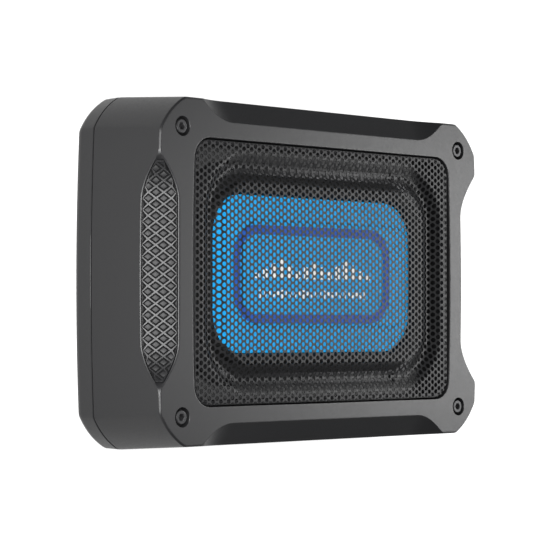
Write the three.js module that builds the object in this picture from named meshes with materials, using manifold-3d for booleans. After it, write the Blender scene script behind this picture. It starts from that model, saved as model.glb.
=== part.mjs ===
// Powered car subwoofer of the flat kind that slides under a seat: a drafted cast housing with a
// perforated metal grille, a shallow rectangular bass driver, and a built-in amplifier whose
// sockets and controls sit in a bay in one long side.
// Millimetres. The box lies on its back: +Z points out of the grille, +X runs along the long
// side, and the origin is on the floor under the middle of the box.
import * as THREE from 'three';
import { mergeVertices } from 'three/addons/utils/BufferGeometryUtils.js';
import Module from 'manifold-3d';

const wasm = await Module();
wasm.setup();

// ---- Driving dimensions ----
const GAP = 0.3; // clearance between touching pieces
const FRONT_Z = 82; // outer face of the bezel
const BACK_Z = 1.5; // underside of the rear cover
const SEAM_LOW = 18; // rim of the rear cover
const SEAM_HIGH = 19; // rim of the front housing
const WALL = 2.5; // casting wall
const DRAFT = 3.9; // how much wider the housing is at the seam than at the bezel

const RIDGE_X = 166; // bezel half width at the corner kinks
const RIDGE_Y = 118.8; // bezel half height
const CORNER = 23; // leg of the cut corner
const CORNER_SAG = 2.5; // how far the corner arc bulges
const SIDE_BOW = 2.5; // how far the short sides bow outwards

const OPEN_X = 134.3; // grille opening, half sizes and corner radius
const OPEN_Y = 92.2;
const OPEN_R = 15.3;
const BAFFLE_TOP = 64;
const BAFFLE_LOW = 61.5;
const CUTOUT = { x: 116.5, y: 67.5, r: 31 };

const END_SCOOP = { inset: 14.8, drop: 9, flat: 97.5, tip: 127 }; // long edges
const GRIP_SCOOP = { inset: 20.1, drop: 17, flat: 49, tip: 81 }; // short edges, hold the grip pads
const PLAIN_EDGE = 1; // softened edge elsewhere
const GRIP_DEPTH = 3.3;

const FRONT_SCREW = { x: 145.5, y: 98.6, bore: 2.7, counterbore: 6.7, head: 4.75, floor: 76.3 };
const REAR_SCREW = { x: 118, y: 109, bore: 1.9, counterbore: 4.3, head: 4, floor: 6 };
const FOOT = { x: 140, y: 92, r: 11 };

const BAY = { x: 100, low: 25, high: 59, back: 105.7, lip: 7, sill: 3.5 }; // connection bay
const PANEL_FACE = 108; // distance of the control panel's face from the middle
const PANEL_Z = (BAY.low + BAY.high) / 2;

const CONE = { x: 105, y: 56, r: 29, top: 66.5, edge: 2.5, neck: 50 };
const COIL_R = 25;
const BASKET_R = 52;

const BOARD = { x: 90, far: -101, near: -60, z0: 22, z1: 23.6 }; // amplifier board
const BOARD_POSTS = [[-84, -95], [84, -95], [-84, -65], [84, -65]];

const ROUND = 20; // facets of a round piece

// ---- Finishes ----
const finish = (color, roughness, metalness) =>
  new THREE.MeshStandardMaterial({ color, roughness, metalness, flatShading: true });
const housingPaint = finish(0x6c6e70, 0.62, 0.1);
const grillePaint = finish(0x5f6062, 0.5, 0.3);
const blackPlastic = finish(0x17181a, 0.55, 0);
const rubber = finish(0x101112, 0.85, 0);
const steel = finish(0x8c9094, 0.35, 0.9);
const blackSteel = finish(0x222326, 0.4, 0.8);
const aluminium = finish(0xb4b7ba, 0.4, 0.85);
const copper = finish(0xb36b3c, 0.35, 0.85);
const ferrite = finish(0x2a2a2c, 0.7, 0.1);
const blueCone = finish(0x2498ee, 0.5, 0);
const deepBlue = finish(0x0f4fb8, 0.5, 0);
const greenBoard = finish(0x1c5a36, 0.55, 0);
const foam = finish(0x3a3b3e, 0.95, 0);
const cloth = finish(0x8a5a2a, 0.9, 0);
const whitePlastic = finish(0xe8e8e4, 0.45, 0);
const redPlastic = finish(0xb32020, 0.45, 0);

// ---- Geometry tools ----
const V2 = (x, y) => new THREE.Vector2(x, y);
const V3 = (x, y, z) => new THREE.Vector3(x, y, z);

function signedVolume(geometry) {
  const at = geometry.attributes.position;
  const index = geometry.index;
  const corner = [V3(0, 0, 0), V3(0, 0, 0), V3(0, 0, 0)];
  let sum = 0;
  for (let i = 0; i < index.count; i += 3) {
    corner.forEach((v, k) => v.fromBufferAttribute(at, index.getX(i + k)));
    sum += corner[0].dot(corner[1].clone().cross(corner[2])) / 6;
  }
  return sum;
}

// Leaves only merged positions, turned so that the faces point out.
function clean(geometry) {
  let g = geometry.clone();
  g.deleteAttribute('normal');
  g.deleteAttribute('uv');
  g = mergeVertices(g, 1e-4);
  if (signedVolume(g) < 0) {
    const index = g.index;
    for (let i = 0; i < index.count; i += 3) {
      const swap = index.getX(i + 1);
      index.setX(i + 1, index.getX(i + 2));
      index.setX(i + 2, swap);
    }
  }
  return g;
}

function solid(geometry) {
  const g = clean(geometry);
  const vertProperties = new Float32Array(g.attributes.position.array);
  const triVerts = new Uint32Array(g.index.array);
  return new wasm.Manifold(new wasm.Mesh({ numProp: 3, vertProperties, triVerts }));
}

function fromSolid(body) {
  const data = body.getMesh();
  const g = new THREE.BufferGeometry();
  g.setAttribute('position', new THREE.BufferAttribute(new Float32Array(data.vertProperties), 3));
  g.setIndex(new THREE.BufferAttribute(new Uint32Array(data.triVerts), 1));
  return g;
}

const add = (...parts) => fromSolid(parts.map(solid).reduce((a, b) => a.add(b)));
const cut = (base, ...tools) => fromSolid(tools.map(solid).reduce((a, b) => a.subtract(b), solid(base)));

function box(x0, x1, y0, y1, z0, z1) {
  const g = new THREE.BoxGeometry(x1 - x0, y1 - y0, z1 - z0);
  return g.translate((x0 + x1) / 2, (y0 + y1) / 2, (z0 + z1) / 2);
}

function rod(r, z0, z1, x = 0, y = 0, sides = ROUND) {
  const g = new THREE.CylinderGeometry(r, r, z1 - z0, sides);
  return g.rotateX(Math.PI / 2).translate(x, y, (z0 + z1) / 2);
}

// A turned body from [radius, height] points. The profile ends on the axis or is closed here.
function turned(points, x = 0, y = 0, sides = ROUND) {
  const profile = points.map(([r, z]) => V2(r, z));
  const onAxis = points[0][0] === 0;
  if (!onAxis) profile.push(profile[0].clone());
  return new THREE.LatheGeometry(profile, sides).rotateX(Math.PI / 2).translate(x, y, 0);
}

const ring = (rIn, rOut, z0, z1, x, y, sides) =>
  turned([[rIn, z0], [rOut, z0], [rOut, z1], [rIn, z1]], x, y, sides);

// A rounded rectangle as a list of points, anticlockwise from the right-hand side.
function roundedRect(hx, hy, r, steps = 5) {
  const points = [];
  for (let quarter = 0; quarter < 4; quarter += 1) {
    const sx = quarter === 0 || quarter === 3 ? 1 : -1;
    const sy = quarter < 2 ? 1 : -1;
    for (let i = 0; i <= steps; i += 1) {
      const a = (quarter + i / steps) * Math.PI / 2;
      points.push(V2(sx * (hx - r) + r * Math.cos(a), sy * (hy - r) + r * Math.sin(a)));
    }
  }
  return points;
}

// A plate between two heights, with any holes.
function plate(outline, holes, z0, z1) {
  const shape = new THREE.Shape(outline);
  shape.holes = holes.map((hole) => new THREE.Path(hole));
  const g = new THREE.ExtrudeGeometry(shape, { depth: z1 - z0, bevelEnabled: false });
  return g.translate(0, 0, z0);
}

// Skins between rows of points. With a closed stack the last row joins the first; an open stack
// gets a flat fan at each end. Every row is a closed loop.
function skin(rows, closedStack = false) {
  const n = rows[0].length;
  const points = rows.flat();
  const triangles = [];
  const last = closedStack ? rows.length : rows.length - 1;
  for (let i = 0; i < last; i += 1) {
    const next = (i + 1) % rows.length;
    for (let j = 0; j < n; j += 1) {
      const k = (j + 1) % n;
      triangles.push(i * n + j, i * n + k, next * n + k);
      triangles.push(i * n + j, next * n + k, next * n + j);
    }
  }
  if (!closedStack) {
    [0, rows.length - 1].forEach((row, end) => {
      const middle = rows[row].reduce((a, p) => a.add(p), V3(0, 0, 0)).divideScalar(n);
      points.push(middle);
      for (let j = 0; j < n; j += 1) {
        const pair = [row * n + j, row * n + (j + 1) % n];
        if (end === 0) pair.reverse();
        triangles.push(points.length - 1, ...pair);
      }
    });
  }
  const g = new THREE.BufferGeometry();
  g.setAttribute('position', new THREE.Float32BufferAttribute(points.flatMap((p) => [p.x, p.y, p.z]), 3));
  g.setIndex(triangles);
  return g;
}

const level = (outline, z) => outline.map((p) => V3(p.x, p.y, z));

// A tube that follows a smooth route.
function wire(route, r) {
  const section = new THREE.Shape();
  section.absarc(0, 0, r, 0, 2 * Math.PI);
  const path = new THREE.CatmullRomCurve3(route);
  return new THREE.ExtrudeGeometry(section, { steps: 8, curveSegments: 4, extrudePath: path });
}

const root = new THREE.Group();
function place(parent, name, geometry, material, position = [0, 0, 0]) {
  const body = clean(geometry);
  body.computeVertexNormals();
  const mesh = new THREE.Mesh(body, material);
  mesh.name = name;
  mesh.position.set(...position);
  parent.add(mesh);
  return mesh;
}
const corners = (x, y) => [[x, y], [-x, y], [-x, -y], [x, -y]];
const cornerName = ([x, y]) => `${y > 0 ? 'upper' : 'lower'}_${x > 0 ? 'right' : 'left'}`;

// ---- Housing outline ----
// A station is a place on the bezel's rim: its run and how far along the run it lies, from -1 to 1
// on a side and from 0 to 1 on a corner. Stations go round anticlockwise, from the right side.
const SIDE_STOPS = [0, 49, 57, 64, 70, 76, 81].map((y) => y / (RIDGE_Y - CORNER));
const END_STOPS = [0, 97.5, 127].map((x) => x / (RIDGE_X - CORNER));
const CORNER_STOPS = [0, 0.25, 0.5, 0.75, 1];

const mirrored = (stops) => [...stops.slice(1).map((s) => -s).reverse(), ...stops];
const stations = [];
for (let quarter = 0; quarter < 4; quarter += 1) {
  const stops = quarter % 2 === 0 ? SIDE_STOPS : END_STOPS;
  mirrored(stops).forEach((along) => stations.push({ quarter, corner: false, along }));
  CORNER_STOPS.forEach((along) => stations.push({ quarter, corner: true, along }));
}

// A point of a quarter's own frame turned into place: quarter 0 faces +X, 1 faces +Y, and so on.
function turn(quarter, x, y) {
  const c = [1, 0, -1, 0][quarter];
  const s = [0, 1, 0, -1][quarter];
  return V2(c * x - s * y, s * x + c * y);
}

// The rim grown outwards by some amount. Its kinks move out along the diagonal, as the draft does.
function rimPoint(station, grow) {
  const { quarter, corner, along } = station;
  const facesX = quarter % 2 === 0;
  const reach = (facesX ? RIDGE_X : RIDGE_Y) + grow;
  const half = (facesX ? RIDGE_Y : RIDGE_X) - CORNER + grow;
  if (!corner) {
    const bow = facesX ? SIDE_BOW * (1 - along * along) : 0;
    return turn(quarter, reach + bow, along * half);
  }
  const bulge = CORNER_SAG * 4 * along * (1 - along) * Math.SQRT1_2;
  return turn(quarter, reach - CORNER * along + bulge, half + CORNER * along + bulge);
}

// A rounded rectangle's point that faces the same station.
function innerPoint(station, hx, hy, r, bow = 0) {
  const { quarter, corner, along } = station;
  const facesX = quarter % 2 === 0;
  const reach = facesX ? hx : hy;
  const half = (facesX ? hy : hx) - r;
  if (!corner) {
    return turn(quarter, reach + (facesX ? bow * (1 - along * along) : 0), along * half);
  }
  const a = along * Math.PI / 2;
  return turn(quarter, reach - r + r * Math.cos(a), half + r * Math.sin(a));
}

function outward(station) {
  const a = (station.quarter + (station.corner ? station.along * 0.8 + 0.1 : 0)) * Math.PI / 2;
  return V2(Math.cos(a), Math.sin(a));
}

// How deep the scoop is at a station, from 1 along its flat stretch to 0 at its tips.
function scoopShare(station) {
  if (station.corner) return 0;
  const facesX = station.quarter % 2 === 0;
  const scoop = facesX ? GRIP_SCOOP : END_SCOOP;
  const half = (facesX ? RIDGE_Y : RIDGE_X) - CORNER;
  const past = (Math.abs(station.along) * half - scoop.flat) / (scoop.tip - scoop.flat);
  const share = THREE.MathUtils.clamp(past, 0, 1);
  return facesX ? 1 - share ** 1.7 : 1 - share;
}

// The sloping cut along the bezel's edge: distances from the rim and heights of its two edges.
function scoop(station) {
  const facesX = station.quarter % 2 === 0;
  const size = facesX ? GRIP_SCOOP : END_SCOOP;
  const bow = facesX && !station.corner ? SIDE_BOW * (1 - station.along ** 2) - SIDE_BOW : 0;
  const share = scoopShare(station);
  const inset = Math.max(PLAIN_EDGE, share * (size.inset + bow));
  const drop = Math.max(PLAIN_EDGE, share * size.drop);
  const low = FRONT_Z - drop;
  const inner = V2(-inset, FRONT_Z);
  const outer = V2(wallGrow(low), low);
  const slope = inner.clone().sub(outer);
  const length = slope.length();
  const into = V2(-slope.y, slope.x).divideScalar(length);
  if (into.y > 0) into.negate();
  const holdsGrip = facesX && !station.corner;
  const depth = holdsGrip ? GRIP_DEPTH * THREE.MathUtils.clamp((length - 6) / 6, 0, 1) : 0;
  return { inner, outer, slope, length, into, depth };
}

// How far the drafted wall stands outside the bezel's rim at a height.
function wallGrow(z) {
  return DRAFT * (FRONT_Z - z) / (FRONT_Z - SEAM_HIGH);
}

function rimAt(station, distance, z) {
  const p = rimPoint(station, 0).addScaledVector(outward(station), distance);
  return V3(p.x, p.y, z);
}

const flat = (p, z) => V3(p.x, p.y, z);

// ---- Front housing ----
function housingSection(station) {
  const cutEdge = scoop(station);
  const { inner, outer, slope, length, into, depth } = cutEdge;
  const rim = Math.min(1 / length, 0.15);
  const step = rim + Math.min(0.6 / length, 0.1);
  const onSlope = (share, deep) => outer.clone().addScaledVector(slope, share).addScaledVector(into, deep);
  const pocket = [onSlope(rim, 0), onSlope(step, depth), onSlope(1 - step, depth), onSlope(1 - rim, 0)];
  const inside = FRONT_Z - WALL;
  const back = onSlope(0, depth + 2.2);
  const run = slope.x / slope.y;
  const topBack = Math.min(back.x + run * (inside - back.y), wallGrow(inside) - WALL - 1);
  const wallBack = wallGrow(outer.y) - WALL;
  const lowBack = Math.min(back.y + (wallBack - back.x) / run, inside - 1);
  const mouth = innerPoint(station, OPEN_X, OPEN_Y, OPEN_R, 1.6);
  const behind = innerPoint(station, OPEN_X + WALL, OPEN_Y + WALL, OPEN_R + WALL, 1.6);
  const hole = innerPoint(station, CUTOUT.x, CUTOUT.y, CUTOUT.r);
  return [
    flat(rimPoint(station, DRAFT), SEAM_HIGH),
    flat(rimPoint(station, outer.x), outer.y),
    ...pocket.map((p) => rimAt(station, p.x, p.y)),
    rimAt(station, inner.x, FRONT_Z),
    flat(mouth, FRONT_Z),
    flat(mouth, BAFFLE_TOP),
    flat(hole, BAFFLE_TOP),
    flat(hole, BAFFLE_LOW),
    flat(behind, BAFFLE_LOW),
    flat(behind, inside),
    rimAt(station, topBack, inside),
    rimAt(station, wallBack, lowBack),
    flat(rimPoint(station, DRAFT - WALL), SEAM_HIGH),
  ];
}

function housing() {
  const shell = skin(stations.map(housingSection), true);
  const { x: bx, low, high, back } = BAY;
  const parts = [box(-bx - WALL, bx + WALL, -RIDGE_Y + 1, -back + 2, low - WALL, high + WALL)];
  const cuts = [
    box(-bx, bx, -RIDGE_Y - 10, -back, low, high),
    box(-bx + BAY.lip, bx - BAY.lip, -back - 1, -back + 5, low + BAY.sill, high - BAY.sill),
  ];
  corners(FRONT_SCREW.x, FRONT_SCREW.y).forEach(([x, y]) => {
    parts.push(rod(9, SEAM_HIGH, FRONT_Z - 1, x, y, 16));
    cuts.push(rod(FRONT_SCREW.counterbore, FRONT_SCREW.floor, FRONT_Z + 1, x, y));
    cuts.push(rod(FRONT_SCREW.bore, SEAM_HIGH - 1, FRONT_Z, x, y, 12));
  });
  corners(REAR_SCREW.x, REAR_SCREW.y).forEach(([x, y]) => {
    const wallY = Math.sign(y) * (RIDGE_Y + 0.5);
    parts.push(rod(5, SEAM_HIGH, 40, x, y, 12));
    parts.push(box(x - 1.5, x + 1.5, Math.min(y, wallY), Math.max(y, wallY), SEAM_HIGH + 1, 40));
    cuts.push(rod(REAR_SCREW.bore, SEAM_HIGH - 1, 38, x, y, 12));
  });
  return cut(add(shell, ...parts), ...cuts);
}
place(root, 'front_housing', housing(), housingPaint);

// ---- Grip pads in the short-edge scoops ----
function gripPad(quarter) {
  const run = stations.filter((s) => s.quarter === quarter && !s.corner && scoop(s).depth > 1);
  const rows = run.map((station) => {
    const { outer, slope, length, into, depth } = scoop(station);
    const edge = 2 / length;
    const at = (share, deep) => {
      const p = outer.clone().addScaledVector(slope, share).addScaledVector(into, deep);
      return rimAt(station, p.x, p.y);
    };
    return [at(edge, 0), at(1 - edge, 0), at(1 - edge, depth - GAP), at(edge, depth - GAP)];
  });
  return skin(rows);
}
place(root, 'right_grip_pad', gripPad(0), blackPlastic);
place(root, 'left_grip_pad', gripPad(2), blackPlastic);

// ---- Grille: one pressed sheet with a channel round a raised middle ----
const GRILLE_TOP = 81;
const SHEET = 1;
function grille() {
  const rings = [
    [OPEN_X - 1.6, OPEN_Y - 1.6, OPEN_R - 1.6, 0],
    [OPEN_X - 7.5, OPEN_Y - 6.5, OPEN_R + 8, 0],
    [121, 80, 36, -2.6],
    [115, 74, 34, -4.2],
    [109, 68, 31, -2.4],
    [103, 62, 28, 0],
    [90, 39, 18, 0.3],
  ];
  const face = (lift) => rings.map(([x, y, r, z]) => level(roundedRect(x, y, r), GRILLE_TOP + z + lift));
  return skin([...face(0).reverse(), ...face(-SHEET)]);
}
place(root, 'grille', grille(), grillePaint);

// The frame that carries the grille's edge stands on the baffle inside the opening.
const frameOutline = roundedRect(OPEN_X - 1, OPEN_Y - 1, OPEN_R - 1);
const frameHole = roundedRect(OPEN_X - 4, OPEN_Y - 4, OPEN_R - 4);
place(root, 'grille_frame', plate(frameOutline, [frameHole], BAFFLE_TOP + GAP, GRILLE_TOP - SHEET - GAP),
  blackPlastic);

// ---- Rear cover, its seal, feet and the housing screws ----
const FLOOR_TOP = BACK_Z + WALL;
const onCover = (s) => s.corner || s.quarter % 2 === 1 || SIDE_STOPS.indexOf(Math.abs(s.along)) % 2 === 0;
const coarse = stations.filter(onCover);
const rimLevel = (grow, z) => coarse.map((s) => flat(rimPoint(s, grow), z));

function rearCover() {
  const shell = skin([rimLevel(2.8, BACK_Z), rimLevel(3.6, BACK_Z + 3), rimLevel(DRAFT, SEAM_LOW)]);
  const room = skin([rimLevel(-1, FLOOR_TOP), rimLevel(DRAFT - WALL, SEAM_LOW + 1)]);
  const posts = BOARD_POSTS.map(([x, y]) => rod(3, BACK_Z + 1, BOARD.z0 - GAP, x, y, 8));
  const bores = [];
  corners(FRONT_SCREW.x, FRONT_SCREW.y).forEach(([x, y]) => {
    posts.push(rod(7, BACK_Z + 1, SEAM_LOW, x, y, 16));
    bores.push(rod(FRONT_SCREW.bore, FLOOR_TOP + 2.5, SEAM_LOW + 1, x, y, 12));
  });
  corners(REAR_SCREW.x, REAR_SCREW.y).forEach(([x, y]) => {
    posts.push(rod(6, BACK_Z + 1, SEAM_LOW, x, y, 16));
    bores.push(rod(REAR_SCREW.counterbore, BACK_Z - 1, REAR_SCREW.floor, x, y, 16));
    bores.push(rod(REAR_SCREW.bore, BACK_Z, SEAM_LOW + 1, x, y, 12));
  });
  return cut(add(cut(shell, room), ...posts), ...bores);
}
place(root, 'rear_cover', rearCover(), housingPaint);

const sealFace = (grow) => rimLevel(grow, 0).map((p) => V2(p.x, p.y));
place(root, 'cover_seal', plate(sealFace(DRAFT - 1), [sealFace(DRAFT - WALL + 0.2)],
  SEAM_LOW + GAP, SEAM_HIGH - GAP), rubber);

const foot = turned([[0, 0], [FOOT.r - 0.7, 0], [FOOT.r, 0.7], [FOOT.r, BACK_Z - GAP], [0, BACK_Z - GAP]]);
corners(FOOT.x, FOOT.y).forEach((at) => place(root, `${cornerName(at)}_foot`, foot, rubber, [...at, 0]));

// Long socket-head screws go in from the bezel and draw the housing onto the rear cover.
function housingScrew() {
  const seat = FRONT_SCREW.floor + GAP;
  const top = seat + 4.6;
  const body = add(rod(FRONT_SCREW.head, seat, top), rod(2.35, 9, seat + 0.5, 0, 0, 12));
  return cut(body, rod(2.5, top - 2.8, top + 1, 0, 0, 6));
}
corners(FRONT_SCREW.x, FRONT_SCREW.y).forEach((at) =>
  place(root, `${cornerName(at)}_housing_screw`, housingScrew(), blackSteel, [...at, 0]));

// Cross-recess screws go in from the back.
function coverScrew() {
  const top = REAR_SCREW.floor - GAP;
  const body = add(rod(REAR_SCREW.head, BACK_Z + 0.6, top, 0, 0, 16), rod(1.6, top - 0.5, 34, 0, 0, 12));
  const recessTop = BACK_Z + 1.8;
  return cut(body, box(-2.2, 2.2, -0.4, 0.4, 0, recessTop), box(-0.4, 0.4, -2.2, 2.2, 0, recessTop));
}
corners(REAR_SCREW.x, REAR_SCREW.y).forEach((at) =>
  place(root, `${cornerName(at)}_cover_screw`, coverScrew(), blackSteel, [...at, 0]));

// ---- Bass driver ----
const driver = new THREE.Group();
root.add(driver);
const FLANGE_LOW = BAFFLE_TOP + 1.3;
const FLANGE_TOP = FLANGE_LOW + 1.7;
const BOWL_TOP = { x: 115.5, y: 66.5, r: 30 };
const NECK_Z = 46; // where the round part of the basket begins
const SHOULDER_Z = 56.5; // where the basket reaches its full width
const BASKET_LOW = 34;

// A rounded rectangle or a circle with matching points, for blending one into the other.
const bowlRow = (hx, hy, r, z) => level(roundedRect(hx, hy, r), z);

function basket() {
  const wall = 1.8;
  const bowl = skin([
    bowlRow(BASKET_R, BASKET_R, BASKET_R - 0.01, BASKET_LOW),
    bowlRow(BASKET_R, BASKET_R, BASKET_R - 0.01, NECK_Z),
    bowlRow(BOWL_TOP.x, BOWL_TOP.y, BOWL_TOP.r, SHOULDER_Z),
    bowlRow(BOWL_TOP.x, BOWL_TOP.y, BOWL_TOP.r, FLANGE_TOP),
  ]);
  const inR = BASKET_R - wall;
  const room = skin([
    bowlRow(inR, inR, inR - 0.01, BASKET_LOW + wall),
    bowlRow(inR, inR, inR - 0.01, NECK_Z + 0.5),
    bowlRow(BOWL_TOP.x - wall, BOWL_TOP.y - wall, BOWL_TOP.r - wall, SHOULDER_Z + 0.8),
    bowlRow(BOWL_TOP.x - wall, BOWL_TOP.y - wall, BOWL_TOP.r - wall, FLANGE_TOP + 1),
  ]);
  const flange = plate(roundedRect(128, 79, 42), [roundedRect(114, 65, 29)], FLANGE_LOW, FLANGE_TOP);
  const ledge = ring(46, BASKET_R - 1, 42.4, 44, 0, 0, 32);
  const windows = [
    box(-100, -58, -30, 30, 47.5, 59), box(58, 100, -30, 30, 47.5, 59),
    box(-44, 44, 44, 75, 50, 58), box(-44, 44, -75, -44, 50, 58),
    rod(27.4, BASKET_LOW - 1, BASKET_LOW + 3),
  ];
  const holes = flangeScrews().map(([x, y]) => rod(1.7, FLANGE_LOW - 1, FLANGE_TOP + 1, x, y, 8));
  return cut(add(cut(bowl, room), flange, ledge), ...windows, ...holes);
}

function flangeScrews() {
  return [...corners(86, 75.5), ...corners(124.5, 36)];
}

const basketShape = basket();
place(driver, 'driver_basket', basketShape, blackSteel);
place(driver, 'driver_gasket', plate(roundedRect(127.5, 78.5, 41.5), [roundedRect(117.2, 68.2, 31.7)],
  BAFFLE_TOP + GAP, FLANGE_LOW - GAP), foam);

// The rubber surround is a half roll from the flange to the edge of the diaphragm.
function surround() {
  const low = FLANGE_TOP + GAP;
  const steps = 6;
  const roll = (thick) => Array.from({ length: steps + 1 }, (_, i) => {
    const a = Math.PI * i / steps;
    return [0.8 + 3.6 * (1 - Math.cos(a)), low + 0.6 + thick + 3.4 * Math.sin(a)];
  });
  const profile = [[-0.3 + 0.6, low - 0.5], ...roll(0.8), [14.6, low + 0.9], [14.6, low], [8.6, low]];
  profile.push([7.6, low + 0.3], [4.4, low + 3], [1.4, low - 0.3]);
  const rows = profile.map(([out, z]) => level(roundedRect(CONE.x + out, CONE.y + out, CONE.r + out), z));
  return skin(rows, true);
}
place(driver, 'surround', surround(), rubber);

// Flat foam-cored diaphragm, tapering behind to the voice coil.
const coneRow = (inset, z) => level(roundedRect(CONE.x - inset, CONE.y - inset, CONE.r - inset), z);
const neckR = COIL_R + 2;
const diaphragm = skin([
  level(roundedRect(neckR, neckR, neckR - 0.01), CONE.neck),
  coneRow(0, CONE.top - CONE.edge),
  coneRow(0, CONE.top - 0.6),
  coneRow(0.6, CONE.top),
]);
place(driver, 'diaphragm', diaphragm, blueCone);
const BAND = { x: 82.5, y: 35, r: 23, wide: 6.6 };
place(driver, 'diaphragm_band', plate(roundedRect(BAND.x, BAND.y, BAND.r),
  [roundedRect(BAND.x - BAND.wide, BAND.y - BAND.wide, BAND.r - BAND.wide)],
  CONE.top + GAP, CONE.top + 0.8), deepBlue);

place(driver, 'coil_former', ring(COIL_R, COIL_R + 0.5, 26, CONE.neck - GAP), aluminium);
place(driver, 'voice_coil', ring(COIL_R + 0.8, COIL_R + 1.7, 26, 36), copper);

function spider() {
  const waves = 6;
  const inner = COIL_R + 0.8;
  const outer = BASKET_R - 3;
  const wave = (lift) => Array.from({ length: waves + 1 }, (_, i) => {
    const swing = i === 0 || i === waves ? 0 : 0.7 * (i % 2 === 0 ? -1 : 1);
    return [inner + (outer - inner) * i / waves, 45.2 + swing + lift];
  });
  return turned([...wave(0), ...wave(0.5).reverse()]);
}
place(driver, 'spider', spider(), cloth);

place(driver, 'top_plate', ring(27.5, 47, 28, BASKET_LOW - GAP), steel);
place(driver, 'magnet', ring(29.5, 45, 16.3, 27.7), ferrite);
const yokeProfile = [[0, 10], [46, 10], [47, 11], [47, 16], [24.4, 16], [24.4, 34], [0, 34]];
place(driver, 'yoke', turned(yokeProfile), steel);

const TERMINAL_Y = -BASKET_R - GAP;
place(driver, 'driver_terminals', box(-9, 9, TERMINAL_Y - 3, TERMINAL_Y, 35, 43), blackPlastic);
const cableRoute = [[-56, 39], [-60, 38], [-62, 33], [-62, 28], [-62, 24.2]];
place(driver, 'speaker_cable', wire(cableRoute.map(([y, z]) => V3(0, y, z)), 1.6), rubber);

// ---- Control panel: its own frame has x along the panel, y up and z out of the panel ----
const panel = new THREE.Group();
panel.position.set(0, -PANEL_FACE, PANEL_Z);
panel.rotation.x = Math.PI / 2;
root.add(panel);
const PANEL_T = 2;
const BEHIND = -PANEL_T - GAP;
const HALF = { x: BAY.x - GAP, y: (BAY.high - BAY.low) / 2 - GAP };

const POWER = { x: -80, hx: 10.5, hy: 7 };
const SPEAKER_IN = { x: -45, hx: 8, hy: 5.5 };
const FUSE_X = -62.5;
const LINE_IN = [-27, -12];
const REMOTE_X = 3;
const LED_Y = 10.5;
const KNOBS = [['gain', 22], ['low_pass', 42], ['bass', 62]];
const SWITCHES = [['phase', 6.5], ['auto_on', -6.5]];
const SWITCH_X = 80;

function panelPlate() {
  const square = (x, y, hx, hy) => box(x - hx, x + hx, y - hy, y + hy, -PANEL_T - 1, 1);
  const round = (x, y, r) => rod(r, -PANEL_T - 1, 1, x, y, 16);
  const holes = [
    square(POWER.x, 0, POWER.hx + GAP, POWER.hy + GAP),
    square(SPEAKER_IN.x, 0, SPEAKER_IN.hx + GAP, SPEAKER_IN.hy + GAP),
    square(FUSE_X, 0, 3.6, 8.6),
    round(REMOTE_X, 0, 3.6),
    round(REMOTE_X, LED_Y, 1.9),
    ...LINE_IN.map((x) => round(x, 0, 4.5)),
    ...KNOBS.map(([, x]) => round(x, 0, 3.5)),
    ...SWITCHES.map(([, y]) => square(SWITCH_X, y, 4.2, 2)),
    ...corners(96.5, 10).map(([x, y]) => round(x, y, 1.5)),
  ];
  return cut(box(-HALF.x, HALF.x, -HALF.y, HALF.y, -PANEL_T, 0), ...holes);
}
place(panel, 'control_panel', panelPlate(), blackPlastic);

// An open-mouthed connector shell that passes through the panel.
function connector(name, { x, hx, hy }) {
  const mouth = box(-hx + 1.4, hx - 1.4, -hy + 1.4, hy - 1.4, -7, 6);
  place(panel, `${name}_socket`, cut(box(-hx, hx, -hy, hy, -13, 5), mouth), blackPlastic, [x, 0, 0]);
}
connector('power', POWER);
connector('speaker_level', SPEAKER_IN);

place(panel, 'fuse_holder', cut(box(-3.3, 3.3, -8.3, 8.3, -12, 1.5), box(-2.4, 2.4, -7.6, 7.6, -8, 2)),
  blackPlastic, [FUSE_X, 0, 0]);
place(panel, 'fuse', add(box(-1.9, 1.9, -7, 7, -3, 6), box(-0.4, 0.4, -6.2, -2.6, -7.5, -2),
  box(-0.4, 0.4, 2.6, 6.2, -7.5, -2)), redPlastic, [FUSE_X, 0, 0]);

// Two line-input jacks on one block: each is a metal collar round a coloured insert.
place(panel, 'line_input_block', add(box(LINE_IN[0] - 8, LINE_IN[1] + 8, -8, 8, -16, BEHIND),
  ...LINE_IN.map((x) => ring(3.45, 4.15, BEHIND - 1, 8, x, 0))), steel);
['left', 'right'].forEach((side, i) => {
  const insert = ring(1.6, 3.1, BEHIND + GAP, 7.5, LINE_IN[i], 0, 16);
  place(panel, `${side}_line_insert`, insert, [whitePlastic, redPlastic][i]);
});
const portShape = turned([[1.8, -9], [3.3, -9], [3.3, GAP], [5, GAP], [5, 1.6], [1.8, 1.6]]);
place(panel, 'remote_port', portShape, blackPlastic, [REMOTE_X, 0, 0]);
const lightShape = turned([[0, -5], [1.5, -5], [1.5, 0.4], [0.8, 1], [0, 1]]);
place(panel, 'power_light', lightShape, redPlastic, [REMOTE_X, LED_Y, 0]);

// Rotary controls: a pot behind the panel and a knob over its shaft.
const pot = add(box(-6, 6, -7, 7, BEHIND - 8, BEHIND), rod(2.9, BEHIND - 1, 5, 0, 0, 16));
const knob = cut(
  turned([[0, 5.4], [3.2, 5.4], [3.2, 0.6], [5.6, 0.6], [5.4, 7.2], [4.8, 7.8], [0, 7.8]]),
  box(-0.5, 0.5, 1.5, 6, 7, 8.5),
);
KNOBS.forEach(([name, x]) => {
  place(panel, `${name}_pot`, pot, steel, [x, 0, 0]);
  place(panel, `${name}_knob`, knob, blackPlastic, [x, 0, 0]);
});

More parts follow.
